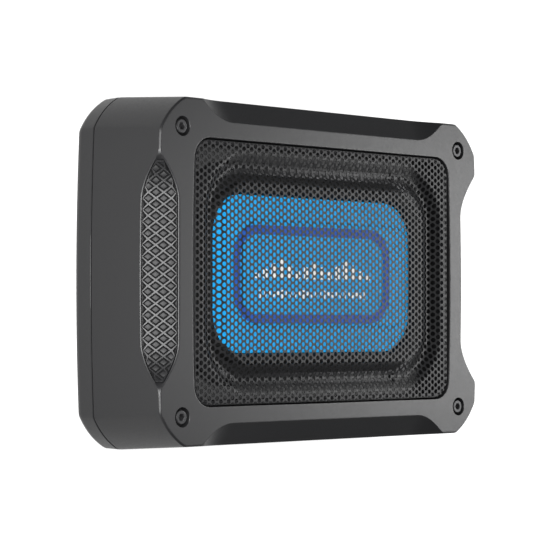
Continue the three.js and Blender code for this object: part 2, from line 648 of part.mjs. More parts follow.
// Slide switches: a body behind the panel with a slider that travels along the panel.
const switchWell = box(-4.2, 4.2, -1.9, 1.9, BEHIND - 3, BEHIND + 1);
const switchBody = cut(box(-6.5, 6.5, -3.4, 3.4, BEHIND - 6, BEHIND), switchWell);
const slider = box(-3.6, -0.2, -1.4, 1.4, BEHIND - 2.7, 2.4);
SWITCHES.forEach(([name, y]) => {
  place(panel, `${name}_switch_body`, switchBody, steel, [SWITCH_X, y, 0]);
  place(panel, `${name}_slider`, slider, blackPlastic, [SWITCH_X, y, 0]);
});

// ---- Amplifier ----
const amp = new THREE.Group();
root.add(amp);
const ON_BOARD = BOARD.z1 + GAP;
place(amp, 'amplifier_board', box(-BOARD.x, BOARD.x, BOARD.far, BOARD.near, BOARD.z0, BOARD.z1), greenBoard);
const capacitor = turned([[0, 0], [8, 0], [8, 22], [7.2, 23], [0, 23]], 0, 0, 16);
['left', 'right'].forEach((side, i) =>
  place(amp, `${side}_capacitor`, capacitor, blackPlastic, [-62 + 22 * i, -82, ON_BOARD]));
place(amp, 'choke', new THREE.TorusGeometry(9, 4, 8, 20), copper, [-2, -82, ON_BOARD + 4]);
const fins = [26, 38, 50, 62, 74].map((x) => box(x - 1, x + 1, -64, -57, ON_BOARD + 2, 44));
place(amp, 'heat_sink', add(box(22, 80, -66, -63, ON_BOARD, 44), ...fins), aluminium);
const transistor = box(-5, 5, -4.5, 0, 0, 18);
['left', 'right'].forEach((side, i) =>
  place(amp, `${side}_transistor`, transistor, blackPlastic, [38 + 26 * i, -66 - GAP, ON_BOARD]));

// ---- Damping foam on the floor of the box ----
place(root, 'damping_foam', box(-152, -112, -80, 80, FLOOR_TOP + GAP, 15), foam);

export default root;
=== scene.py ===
import math
import bpy
import bmesh
import numpy as np
from mathutils import Matrix, Vector


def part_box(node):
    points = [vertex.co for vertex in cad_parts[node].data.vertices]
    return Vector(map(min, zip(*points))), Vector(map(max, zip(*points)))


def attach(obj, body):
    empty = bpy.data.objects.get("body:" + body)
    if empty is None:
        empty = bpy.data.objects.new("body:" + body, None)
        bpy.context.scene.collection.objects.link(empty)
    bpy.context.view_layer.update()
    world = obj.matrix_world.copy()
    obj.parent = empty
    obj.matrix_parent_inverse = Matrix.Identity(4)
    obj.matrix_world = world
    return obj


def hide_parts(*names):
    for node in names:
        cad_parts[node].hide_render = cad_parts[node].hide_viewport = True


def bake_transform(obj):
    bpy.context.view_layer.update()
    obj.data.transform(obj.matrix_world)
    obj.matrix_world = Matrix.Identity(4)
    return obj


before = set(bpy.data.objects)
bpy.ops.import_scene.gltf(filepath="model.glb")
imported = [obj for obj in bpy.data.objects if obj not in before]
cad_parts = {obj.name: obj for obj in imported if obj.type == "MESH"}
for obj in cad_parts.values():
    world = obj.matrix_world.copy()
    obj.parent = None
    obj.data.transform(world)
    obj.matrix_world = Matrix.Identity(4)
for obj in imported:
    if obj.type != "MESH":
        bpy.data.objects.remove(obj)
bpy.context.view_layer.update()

MM = 0.001

# ---- Camera, floor and studio light -------------------------------------------------------
# The box lies on its back. The camera looks at the grille from the left, nearly square to the
# short edge, with the box's +Y up in the picture.
front_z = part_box("front_housing")[1].z
CAMERA_SWING = 0.7958
CAMERA_DIP = -0.0245
CAMERA_SHIFT = Vector((39.4, -0.1, -1584.9)) * MM
camera_data = bpy.data.cameras.new("studio_camera")
camera_data.sensor_width = 36
camera_data.lens = 143.4
camera_data.clip_end = 20
camera = bpy.data.objects.new("studio_camera", camera_data)
bpy.context.scene.collection.objects.link(camera)
towards = Matrix.Rotation(CAMERA_DIP, 4, "X") @ Matrix.Rotation(CAMERA_SWING, 4, "Y")
camera.matrix_world = (Matrix.Translation((0, 0, front_z)) @ towards.inverted()
                       @ Matrix.Translation(-CAMERA_SHIFT))
bpy.context.scene.camera = camera
bpy.context.scene.view_settings.view_transform = "Standard"


class Value:
    """A shader socket that can stand in arithmetic."""

    def __init__(self, finish, socket):
        self.finish = finish
        self.socket = socket

    def maths(self, operation, *others):
        return self.finish.add("ShaderNodeMath", [self, *others], operation=operation)

    def __add__(self, other):
        return self.maths("ADD", other)

    def __sub__(self, other):
        return self.maths("SUBTRACT", other)

    def __mul__(self, other):
        return self.maths("MULTIPLY", other)

    def __truediv__(self, other):
        return self.maths("DIVIDE", other)

    def __rsub__(self, other):
        return self.finish.add("ShaderNodeMath", [other, self], operation="SUBTRACT")

    __radd__ = __add__
    __rmul__ = __mul__


class Finish:
    """A procedural finish: a material with its Principled shader and a way to add nodes."""

    def __init__(self, name, colour, roughness, metallic=0.0, **constants):
        self.material = bpy.data.materials.new(name)
        self.material.use_nodes = True
        self.nodes = self.material.node_tree.nodes
        self.links = self.material.node_tree.links
        self.nodes.clear()
        self.shader = self.nodes.new("ShaderNodeBsdfPrincipled")
        output = self.nodes.new("ShaderNodeOutputMaterial")
        self.links.new(self.shader.outputs["BSDF"], output.inputs["Surface"])
        self.set("Base Color", (*colour, 1))
        self.set("Roughness", roughness)
        self.set("Metallic", metallic)
        for socket, value in constants.items():
            self.set(socket.replace("_", " "), value)
        self.place = self.add("ShaderNodeTexCoord", output="Object")

    def add(self, kind, inputs=(), output=0, **settings):
        node = self.nodes.new(kind)
        for key, value in settings.items():
            setattr(node, key, value)
        pairs = inputs.items() if isinstance(inputs, dict) else enumerate(inputs)
        for key, value in pairs:
            self.feed(node.inputs[key], value)
        return Value(self, node.outputs[output])

    def feed(self, socket, value):
        if isinstance(value, Value):
            self.links.new(value.socket, socket)
        else:
            socket.default_value = value

    def set(self, name, value):
        self.feed(self.shader.inputs[name], value)

    def noise(self, scale, detail=2.0, roughness=0.5, place=None):
        inputs = {"Vector": place or self.place, "Scale": scale, "Detail": detail,
                  "Roughness": roughness}
        return self.add("ShaderNodeTexNoise", inputs)

    def ramp(self, value, low, high, from_low=0.0, from_high=1.0, smooth=False):
        kind = "SMOOTHSTEP" if smooth else "LINEAR"
        return self.add("ShaderNodeMapRange", [value, from_low, from_high, low, high],
                        interpolation_type=kind)

    def mix(self, factor, colour_a, colour_b):
        wide = [c if isinstance(c, Value) else (*c, 1) for c in (colour_a, colour_b)]
        return self.add("ShaderNodeMix", {0: factor, 6: wide[0], 7: wide[1]}, output=2,
                        data_type="RGBA")

    def emboss(self, height, strength, distance):
        inputs = {"Height": height, "Strength": strength, "Distance": distance}
        self.set("Normal", self.add("ShaderNodeBump", inputs))

    def mottle(self, dark, light, *grain):
        """Lets the colour drift between two tones, in patches of a noise's scale and detail."""
        self.set("Base Color", self.mix(self.noise(*grain), dark, light))

    def uneven(self, low, high, *grain):
        """Lets the roughness wander between two values in the same way."""
        self.set("Roughness", self.ramp(self.noise(*grain), low, high, 0.3, 0.7))


def paint(piece, finish):
    piece.data.materials.clear()
    piece.data.materials.append(finish.material)


floor_finish = Finish("studio_floor", (0.25, 0.25, 0.25), 0.9)
floor_finish.set("Emission Color", (1, 1, 1, 1))
floor_finish.set("Emission Strength", 0.82)
bpy.ops.mesh.primitive_plane_add(size=12)
floor = bpy.context.object
floor.name = "studio_floor"
paint(floor, floor_finish)

world = bpy.data.worlds.new("studio")
world.use_nodes = True
world.node_tree.nodes["Background"].inputs["Color"].default_value = (0.9, 0.95, 1, 1)
world.node_tree.nodes["Background"].inputs["Strength"].default_value = 0.08
bpy.context.scene.world = world


def softbox(name, aim_from, distance, width, height, power):
    """A rectangular light facing the box's middle; height runs along Y."""
    data = bpy.data.lights.new(name, "AREA")
    data.shape = "RECTANGLE"
    data.size = width
    data.size_y = height
    data.energy = power
    lamp = bpy.data.objects.new(name, data)
    bpy.context.scene.collection.objects.link(lamp)
    back = Vector(aim_from).normalized()
    lamp.location = Vector((0, 0, front_z)) + back * distance
    lamp.rotation_euler = back.to_track_quat("Z", "Y").to_euler()
    return lamp


softbox("right_softbox", (0.83, 0.02, 0.55), 0.70, 0.40, 0.34, 5.8)
softbox("left_softbox", (-0.62, 0.0, 0.78), 1.75, 0.85, 0.75, 42)
low_lamp = softbox("left_floor_lamp", (-1, 0, 0), 0.42, 0.22, 0.22, 4)
low_lamp.location.z = 0.3
low_lamp.rotation_euler = (0, 0, 0)


# ---- Front housing ------------------------------------------------------------------------
# One die-cast aluminium shell in satin dark grey paint: bezel, drafted walls, cut corners, a
# scoop in each edge, screw counterbores, the driver's baffle and the bay for the connections.
# It is lofted round the bezel's rim from a section that changes with the scoops, then carved.
BEZEL_Z = front_z / MM
SEAM_HIGH = 19.0
WALL = 2.5
DRAFT = 3.9
RIM_X = 166.0
RIM_Y = 118.8
CORNER = 23.0
CORNER_SAG = 2.5
SIDE_BOW = 2.5
OPENING = (134.3, 92.2, 15.3)
OPENING_BOW = 1.6
BAFFLE_TOP = 64.0
BAFFLE_LOW = 61.5
CUTOUT = (116.5, 67.5, 31.0)
END_SCOOP = {"inset": 14.8, "drop": 9.0, "flat": 97.5, "tip": 127.0, "power": 2.0}
GRIP_SCOOP = {"inset": 20.1, "drop": 17.0, "flat": 49.0, "tip": 81.0, "power": 1.7}
PLAIN_EDGE = 1.0
GRIP_DEPTH = 3.3
STATION_STEP = 1.6


class Stations:
    """Places round the bezel's rim. Quarter 0 faces +X, 1 faces +Y, and so on; along runs from
    -1 to 1 on a side and from 0 to 1 on the corner that follows it."""

    def __init__(self, step):
        rows = []
        for quarter in range(4):
            half = (RIM_Y if quarter % 2 == 0 else RIM_X) - CORNER
            side = np.linspace(-1, 1, int(2 * half / step), endpoint=False)
            corner = np.linspace(0, 1, int(math.sqrt(2) * CORNER / step), endpoint=False)
            rows += [(quarter, 0, along) for along in side]
            rows += [(quarter, 1, along) for along in corner]
        quarter, corner, self.along = np.array(rows).T
        self.on_corner = corner == 1
        self.faces_x = quarter % 2 == 0
        self.cos = np.round(np.cos(quarter * math.pi / 2))
        self.sin = np.round(np.sin(quarter * math.pi / 2))
        self.half = np.where(self.faces_x, RIM_Y, RIM_X) - CORNER
        lean = (quarter + np.where(self.on_corner, 0.1 + 0.8 * self.along, 0)) * math.pi / 2
        self.outward = np.column_stack([np.cos(lean), np.sin(lean)])

    def turn(self, x, y):
        """Points of each station's own quarter, turned into place."""
        return np.column_stack([self.cos * x - self.sin * y, self.sin * x + self.cos * y])

    def rim(self, grow=0.0):
        """The bezel's rim grown outwards; its kinks move along the diagonal, as the draft does."""
        reach = np.where(self.faces_x, RIM_X, RIM_Y) + grow
        half = self.half + grow
        bow = np.where(self.faces_x, SIDE_BOW * (1 - self.along**2), 0)
        bulge = CORNER_SAG * 4 * self.along * (1 - self.along) * math.sqrt(0.5)
        x = np.where(self.on_corner, reach - CORNER * self.along + bulge, reach + bow)
        y = np.where(self.on_corner, half + CORNER * self.along + bulge, self.along * half)
        return self.turn(x, y)

    def inner(self, hx, hy, r, bow=0.0):
        """A rounded rectangle's points that face the same stations."""
        reach = np.where(self.faces_x, hx, hy)
        half = np.where(self.faces_x, hy, hx) - r
        bulge = np.where(self.faces_x, bow * (1 - self.along**2), 0)
        angle = self.along * math.pi / 2
        x = np.where(self.on_corner, reach - r + r * np.cos(angle), reach + bulge)
        y = np.where(self.on_corner, half + r * np.sin(angle), self.along * half)
        return self.turn(x, y)

    def beside_rim(self, distance, z):
        """Points at a distance outside the rim, square to the side, at given heights."""
        return np.column_stack([self.rim() + self.outward * distance[:, None], z])


def level(outline, z):
    return np.column_stack([outline, np.full(len(outline), float(z))])


def wall_grow(z):
    """How far the drafted wall stands outside the bezel's rim."""
    return DRAFT * (BEZEL_Z - z) / (BEZEL_Z - SEAM_HIGH)


class Scoop:
    """The sloping cut along the bezel's edge, for all stations: its two edges in (distance
    outside the rim, height), its length and the depth of the pocket for the grip pad."""

    def __init__(self, at):
        def pick(key):
            return np.where(at.faces_x, GRIP_SCOOP[key], END_SCOOP[key])

        past = (np.abs(at.along) * at.half - pick("flat")) / (pick("tip") - pick("flat"))
        share = np.where(at.on_corner, 0, 1 - np.clip(past, 0, 1) ** pick("power"))
        bow = np.where(at.faces_x & ~at.on_corner, -SIDE_BOW * at.along**2, 0)
        inset = np.maximum(PLAIN_EDGE, share * (pick("inset") + bow))
        low = BEZEL_Z - np.maximum(PLAIN_EDGE, share * pick("drop"))
        self.outer = np.column_stack([wall_grow(low), low])
        self.slope = np.column_stack([-inset, np.full(len(low), BEZEL_Z)]) - self.outer
        self.length = np.linalg.norm(self.slope, axis=1)
        normal = np.column_stack([-self.slope[:, 1], self.slope[:, 0]]) / self.length[:, None]
        self.into = normal * -np.sign(normal[:, 1])[:, None]
        holds_pad = at.faces_x & ~at.on_corner
        self.depth = np.where(holds_pad, GRIP_DEPTH * np.clip((self.length - 6) / 6, 0, 1), 0)

    def on_slope(self, share, deep):
        """(distance, height) at a share of the way up the slope and a depth under it."""
        share, deep = (np.broadcast_to(v, self.length.shape)[:, None] for v in (share, deep))
        return self.outer + self.slope * share + self.into * deep


def rounded_section(rows, radii):
    """Softens the corners of a section: a corner with a radius becomes a short curve with a
    holding edge either side, which keeps the flat faces shading flat."""
    soft = []
    for k, (here, radius) in enumerate(zip(rows, radii)):
        if not radius:
            soft.append(here)
            continue
        ends = []
        for neighbour in (rows[k - 1], rows[(k + 1) % len(rows)]):
            step = neighbour - here
            length = np.maximum(np.linalg.norm(step, axis=1, keepdims=True), 1e-6)
            reach = np.minimum(radius, 0.38 * length)
            hold = np.minimum(radius * 1.35, 0.47 * length)
            ends.append((here + step / length * reach, here + step / length * hold))
        (start, before), (stop, after) = ends
        curve = [(1 - t) ** 2 * start + 2 * t * (1 - t) * here + t * t * stop
                 for t in (0, 0.3, 0.7, 1)]
        soft += [before, *curve, after]
    return soft


def loft(rows, closed=False):
    """Points and faces between rows of as many points each; an open stack gets flat ends."""
    count = len(rows[0])
    faces = []
    for i in range(len(rows) if closed else len(rows) - 1):
        a, b = i * count, (i + 1) % len(rows) * count
        faces += [(a + j, a + (j + 1) % count, b + (j + 1) % count, b + j) for j in range(count)]
    if not closed:
        top = (len(rows) - 1) * count
        faces += [tuple(range(count))[::-1], tuple(range(top, top + count))]
    return np.concatenate(rows), faces


def together(*shapes):
    """Several closed shapes as the points and faces of one mesh."""
    points, faces, start = [], [], 0
    for shape_points, shape_faces in shapes:
        points.append(shape_points)
        faces += [tuple(start + i for i in face) for face in shape_faces]
        start += len(shape_points)
    return np.concatenate(points), faces


def shade(piece, sharp_above=35):
    """Smooth shading that breaks at edges sharper than an angle in degrees."""
    piece.data.shade_smooth()
    piece.data.set_sharp_from_angle(angle=math.radians(sharp_above))


def build(name, shape, finish, sharp_above=35):
    """A mesh from points in millimetres and faces, closed and facing outwards."""
    points, faces = shape
    mesh = bpy.data.meshes.new(name)
    mesh.from_pydata((np.asarray(points) * MM).tolist(), [], faces)
    work = bmesh.new()
    work.from_mesh(mesh)
    bmesh.ops.remove_doubles(work, verts=work.verts, dist=1e-7)
    bmesh.ops.recalc_face_normals(work, faces=work.faces)
    work.to_mesh(mesh)
    work.free()
    piece = bpy.data.objects.new(name, mesh)
    bpy.context.scene.collection.objects.link(piece)
    paint(piece, finish)
    shade(piece, sharp_above)
    return piece


def settle(piece):
    """Swaps a piece's mesh for the result of its modifiers."""
    bpy.context.view_layer.update()
    ready = piece.evaluated_get(bpy.context.evaluated_depsgraph_get())
    mesh = bpy.data.meshes.new_from_object(ready)
    piece.modifiers.clear()
    piece.data = mesh


def carve(piece, tool, operation="DIFFERENCE"):
    """Cuts a tool's shape out of a piece, or adds it."""
    modifier = piece.modifiers.new("carve", "BOOLEAN")
    modifier.object = tool
    modifier.operation = operation
    modifier.solver = "EXACT"
    settle(piece)
    bpy.data.objects.remove(tool)


def fit(piece, slot, *nodes, body="enclosure"):
    """Says what a piece rides on and hides the CAD nodes it stands for; the slot is not used."""
    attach(piece, body)
    if nodes:
        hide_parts(*nodes)


def rod(r, z0, z1, x=0.0, y=0.0, sides=40):
    """An upright cylinder."""
    angles = np.arange(sides) / sides * 2 * math.pi
    ring = np.column_stack([x + r * np.cos(angles), y + r * np.sin(angles)])
    return loft([level(ring, z0), level(ring, z1)])


def lathe(profile, x=0.0, y=0.0, sides=48, closed=False, radii=None):
    """A turned shape from (radius, height) points; an open profile gets flat ends."""
    angles = np.arange(sides) / sides * 2 * math.pi
    unit = np.column_stack([np.cos(angles), np.sin(angles)])
    rows = [level(unit * r + (x, y), z) for r, z in profile]
    return loft(rounded_section(rows, radii) if radii else rows, closed)


def block(x0, x1, y0, y1, z0, z1):
    """A plain box, used as a tool or a starting shape."""
    ring = np.array([(x0, y0), (x1, y0), (x1, y1), (x0, y1)], float)
    return loft([level(ring, z0), level(ring, z1)])


def corners(x, y):
    return [(x, y), (-x, y), (-x, -y), (x, -y)]


def housing_section(at):
    """The shell's cross-section for all stations, with a softening radius for each corner."""
    scoop = Scoop(at)
    lip = np.minimum(1 / scoop.length, 0.15)
    step = lip + np.minimum(0.6 / scoop.length, 0.1)
    pocket = [(lip, 0), (step, scoop.depth), (1 - step, scoop.depth), (1 - lip, 0)]
    inside = BEZEL_Z - WALL
    back = scoop.on_slope(0, scoop.depth + 2.2)
    run = scoop.slope[:, 0] / scoop.slope[:, 1]
    wall_back = wall_grow(scoop.outer[:, 1]) - WALL
    top_back = np.minimum(back[:, 0] + run * (inside - back[:, 1]), wall_grow(inside) - WALL - 1)
    low_back = np.minimum(back[:, 1] + (wall_back - back[:, 0]) / run, inside - 1)
    mouth = at.inner(*OPENING, OPENING_BOW)
    behind = at.inner(*(size + WALL for size in OPENING), OPENING_BOW)
    hole = at.inner(*CUTOUT)
    outer_rim = at.rim(scoop.outer[:, 0])
    flat = np.full(len(scoop.length), BEZEL_Z)
    corner_list = [
        (level(at.rim(DRAFT), SEAM_HIGH), 0.5),
        (np.column_stack([outer_rim, scoop.outer[:, 1]]), 0.9),
        *[(at.beside_rim(*scoop.on_slope(share, deep).T), 0) for share, deep in pocket],
        (at.beside_rim(scoop.slope[:, 0] + scoop.outer[:, 0], flat), 0.8),
        (level(mouth, BEZEL_Z), 0.8),
        (level(mouth, BAFFLE_TOP), 0),
        (level(hole, BAFFLE_TOP), 0.4),
        (level(hole, BAFFLE_LOW), 0),
        (level(behind, BAFFLE_LOW), 0),
        (level(behind, inside), 0),
        (at.beside_rim(top_back, np.full(len(flat), inside)), 0),
        (at.beside_rim(wall_back, low_back), 0),
        (level(at.rim(DRAFT - WALL), SEAM_HIGH), 0),
    ]
    rows, radii = zip(*corner_list)
    return rounded_section(rows, radii)


def eased(rows):
    """Rows with their kinks softened a little along the rim."""
    return [0.5 * r + 0.25 * (np.roll(r, 1, 0) + np.roll(r, -1, 0)) for r in rows]


housing_finish = Finish("satin_grey_paint", (0.008, 0.008, 0.0085), 0.42, Specular_IOR_Level=0.22)
cloud = housing_finish.noise(9, 3)
housing_finish.set("Base Color",
                   housing_finish.mix(cloud, (0.0070, 0.0070, 0.0075), (0.0095, 0.0095, 0.0100)))
housing_finish.uneven(0.38, 0.46, 700, 2)
housing_finish.emboss(housing_finish.noise(2600, 2), 0.08, 0.00004)

FRONT_SCREW = {"x": 145.5, "y": 98.6, "bore": 2.7, "counterbore": 6.7, "floor": 76.3}
REAR_SCREW = {"x": 118.0, "y": 109.0, "bore": 1.9, "counterbore": 4.3, "floor": 6.0}
BAY = {"x": 100.0, "low": 25.0, "high": 59.0, "back": -105.7, "lip": 7.0, "sill": 3.5}

at_rim = Stations(STATION_STEP)
housing = build("front_housing_shell", loft(eased(housing_section(at_rim)), closed=True),
                housing_finish)
posts = [block(-BAY["x"] - WALL, BAY["x"] + WALL, 1 - RIM_Y, BAY["back"] + 2,
               BAY["low"] - WALL, BAY["high"] + WALL)]
posts += [rod(9, SEAM_HIGH, BEZEL_Z - 1, x, y)
          for x, y in corners(FRONT_SCREW["x"], FRONT_SCREW["y"])]
posts += [rod(5, SEAM_HIGH, 40, x, y, 24) for x, y in corners(REAR_SCREW["x"], REAR_SCREW["y"])]
carve(housing, build("posts", together(*posts), housing_finish), "UNION")


def bay_ring(inset_x, inset_z, y):
    """A rectangle across the bay at a distance from the middle of the box."""
    x, low, high = BAY["x"] - inset_x, BAY["low"] + inset_z, BAY["high"] - inset_z
    return np.array([(-x, y, low), (x, y, low), (x, y, high), (-x, y, high)], float)


bay_rows = [bay_ring(0, 0, -RIM_Y - 10), bay_ring(0, 0, BAY["back"]),
            bay_ring(BAY["lip"], BAY["sill"], BAY["back"]),
            bay_ring(BAY["lip"], BAY["sill"], BAY["back"] + 5)]
cuts = [loft(bay_rows)]
for x, y in corners(FRONT_SCREW["x"], FRONT_SCREW["y"]):
    bore, wide = FRONT_SCREW["bore"], FRONT_SCREW["counterbore"]
    profile = [(bore, SEAM_HIGH - 1), (bore, FRONT_SCREW["floor"]), (wide, FRONT_SCREW["floor"]),
               (wide, BEZEL_Z - 0.25), (wide + 0.25, BEZEL_Z), (wide + 0.25, BEZEL_Z + 1)]
    cuts.append(lathe(profile, x, y))
for x, y in corners(REAR_SCREW["x"], REAR_SCREW["y"]):
    cuts.append(rod(REAR_SCREW["bore"], SEAM_HIGH - 1, 38, x, y, 20))
carve(housing, build("cuts", together(*cuts), housing_finish))
shade(housing)
fit(housing, "housing_paint", "front_housing")


# ---- Grip pads ----------------------------------------------------------------------------
# A moulded black pad lies in each short-edge scoop. Thin ribs cross in a diamond lattice, and
# each recess holds a smaller raised diamond; a plain rim runs round the pad.
# The lattice is laid out flat by copies of one cell, then wrapped onto the scoop.
def node_tree(name, sockets):
    """An empty geometry tree with its named inputs, and a way to add linked nodes to it."""
    tree = bpy.data.node_groups.new(name, "GeometryNodeTree")
    for label, kind in sockets:
        tree.interface.new_socket(label, in_out="INPUT", socket_type=f"NodeSocket{kind}")
    tree.interface.new_socket("Geometry", in_out="OUTPUT", socket_type="NodeSocketGeometry")
    source = tree.nodes.new("NodeGroupInput").outputs

    def add(kind, output=0, settings=(), **inputs):
        node = tree.nodes.new(kind)
        for key, value in dict(settings).items():
            setattr(node, key, value)
        for key, value in inputs.items():
            socket = node.inputs[int(key[1:]) if key[0] == "_" else key.replace("_", " ")]
            if isinstance(value, bpy.types.NodeSocket):
                tree.links.new(value, socket)
            else:
                socket.default_value = value
        return node.outputs[output]

    return tree, source, add


def finish_tree(tree, add, instances, material):
    """Every tree ends the same way: real copies, merged where they touch, with a material."""
    real = add("GeometryNodeRealizeInstances", Geometry=instances)
    merged = add("GeometryNodeMergeByDistance", Geometry=real, Distance=2e-6)
    done = add("GeometryNodeSetMaterial", Geometry=merged, Material=material)
    tree.links.new(done, tree.nodes.new("NodeGroupOutput").inputs[0])


def staggered_tree():
    """Lays copies of a cell on a grid whose every second column is half a pitch up."""
    sockets = [("Cell", "Geometry"), ("Columns", "Int"), ("Rows", "Int"),
               ("Column Pitch", "Float"),
               ("Row Pitch", "Float"), ("Material", "Material")]
    tree, source, add = node_tree("staggered_cells", sockets)

    def maths(operation, a, b):
        return add("ShaderNodeMath", settings={"operation": operation}, _0=a, _1=b)

    width = maths("MULTIPLY", maths("SUBTRACT", source["Columns"], 1), source["Column Pitch"])
    height = maths("MULTIPLY", maths("SUBTRACT", source["Rows"], 1), source["Row Pitch"])
    grid = add("GeometryNodeMeshGrid", Size_X=width, Size_Y=height,
               Vertices_X=source["Columns"], Vertices_Y=source["Rows"])
    column = maths("FLOOR", maths("DIVIDE", add("GeometryNodeInputIndex"), source["Rows"]), 0)
    lift = maths("MULTIPLY", maths("MODULO", column, 2),
                 maths("MULTIPLY", source["Row Pitch"], 0.5))
    places = add("GeometryNodeSetPosition", Geometry=grid,
                 Offset=add("ShaderNodeCombineXYZ", Y=lift))
    copies = add("GeometryNodeInstanceOnPoints", Points=places, Instance=source["Cell"])
    finish_tree(tree, add, copies, source["Material"])
    return tree


def grown(piece, tree, **inputs):
    """Runs a node tree on a piece, with its inputs by name, and keeps the plain mesh."""
    modifier = piece.modifiers.new(tree.name, "NODES")
    modifier.node_group = tree
    for socket in tree.interface.items_tree:
        key = socket.name.replace(" ", "_").lower()
        if socket.in_out == "INPUT" and key in inputs:
            modifier[socket.identifier] = inputs[key]
    settle(piece)


staggered_cells = staggered_tree()


def flat_sheet(name, cell, finish, columns, rows, column_pitch, row_pitch):
    """A laid-out sheet of cells as arrays: its points in millimetres and its faces."""
    points, faces = cell
    mesh = bpy.data.meshes.new(name)
    mesh.from_pydata((np.asarray(points) * MM).tolist(), [], faces)
    piece = bpy.data.objects.new(name, mesh)
    bpy.context.scene.collection.objects.link(piece)
    grown(piece, staggered_cells, columns=columns, rows=rows, column_pitch=column_pitch * MM,
          row_pitch=row_pitch * MM, material=finish.material)
    coordinates = np.zeros(len(piece.data.vertices) * 3, np.float32)
    piece.data.vertices.foreach_get("co", coordinates)
    sheet_faces = [tuple(face.vertices) for face in piece.data.polygons]
    bpy.data.objects.remove(piece)
    return coordinates.reshape(-1, 3).astype(float) / MM, sheet_faces


def thickened(points, flat, faces, lower):
    """Closes a sheet into a solid. Flat holds each point's place in the plane, where points
    pushed onto one another are merged; faces of no area, or that use an edge a second time in
    the same direction, are dropped. Lower is the underside."""
    keys = np.round(flat * 200).astype(int)
    _, first, same = np.unique(keys, axis=0, return_index=True, return_inverse=True)
    same = same.ravel()
    kept = []
    used = set()
    for face in faces:
        ring = [same[i] for i in face]
        ring = [v for k, v in enumerate(ring) if v != ring[k - 1]]
        if len(set(ring)) != len(ring) or len(ring) < 3:
            continue
        x, y = flat[first[ring]].T
        sides = set(zip(ring[-1:] + ring[:-1], ring))
        if abs(np.dot(x, np.roll(y, -1)) - np.dot(y, np.roll(x, -1))) > 0.01 and not sides & used:
            kept.append(ring)
            used |= sides
    count = len(first)
    edges = {}
    for ring in kept:
        for k, v in enumerate(ring):
            edges[(ring[k - 1], v)] = True
    walls = [(b, a, a + count, b + count) for a, b in edges if (b, a) not in edges]
    under = [tuple(v + count for v in ring[::-1]) for ring in kept]
    return np.concatenate([points[first], lower[first]]), [tuple(r) for r in kept] + under + walls


GRIP_CELL_ACROSS = 10.4
GRIP_CELL_ALONG = 7.9
GRIP_RIM = 1.95
GRIP_EDGE = 1.65
GRIP_TIP = 1.2
# Rings of the cell from its edge to its middle: share of the cell's size, depth.
GRIP_RINGS = [(1, 0), (0.84, 0), (0.81, -0.12), (0.79, -0.9), (0.77, -1.1), (0.60, -1.1),
              (0.575, -0.95), (0.52, -0.42), (0.49, -0.3), (0.45, -0.26)]
diamond = np.array([(GRIP_CELL_ACROSS / 2, 0), (0, GRIP_CELL_ALONG / 2),
                    (-GRIP_CELL_ACROSS / 2, 0), (0, -GRIP_CELL_ALONG / 2)])


def grip_cell():
    rings = [level(diamond * share, depth) for share, depth in GRIP_RINGS]
    points, faces = loft(rings)
    return points, [face[::-1] for face in faces[:-2] + faces[-1:]]


grip_finish = Finish("moulded_black_grip", (0.008, 0.008, 0.0085), 0.36, Specular_IOR_Level=0.17)
# The recess value drives two things: the real matt texture, through roughness, and painted shade,
# through a darker base colour.
recess = grip_finish.add("ShaderNodeAttribute", output="Fac", attribute_name="recess")
polish = grip_finish.ramp(grip_finish.noise(900, 2), 0.32, 0.40, 0.3, 0.7)
grip_finish.set("Roughness", polish + recess * (0.95 - polish))
# Painted shade: the base colour darkens from 0.008 to 0.003 as the recess value rises, though the
# pad is one moulded plastic.
grip_finish.set("Base Color",
                grip_finish.mix(recess, (0.008, 0.008, 0.0085), (0.003, 0.003, 0.0032)))
grip_finish.emboss(grip_finish.noise(3200, 2), 0.1, 0.00003)

pad_step = Stations(0.5)
pad_run = (~pad_step.on_corner) & (pad_step.cos == 1)
pad_scoop = Scoop(pad_step)
pad_along = pad_step.along[pad_run] * pad_step.half[pad_run]
pad_length = pad_scoop.length[pad_run]
pad_outer = pad_scoop.outer[pad_run]
pad_slope = pad_scoop.slope[pad_run] / pad_length[:, None]
pad_into = pad_scoop.into[pad_run]


def on_scoop(across, along, depth):
    """Wraps points from the flat onto the right-hand scoop: across runs up the slope from its
    outer edge, along runs up the box, depth stands out of the slope."""
    def table(values):
        return np.interp(along, pad_along, values)

    rim_x = RIM_X + SIDE_BOW * (1 - (along / (RIM_Y - CORNER)) ** 2)
    distance = (table(pad_outer[:, 0]) + table(pad_slope[:, 0]) * across
                - table(pad_into[:, 0]) * depth)
    height = (table(pad_outer[:, 1]) + table(pad_slope[:, 1]) * across
              - table(pad_into[:, 1]) * depth)
    return np.column_stack([rim_x + distance, along, height])


def pad_reach(along):
    """How long the slope is at a place along it."""
    return np.interp(along, pad_along, pad_length)


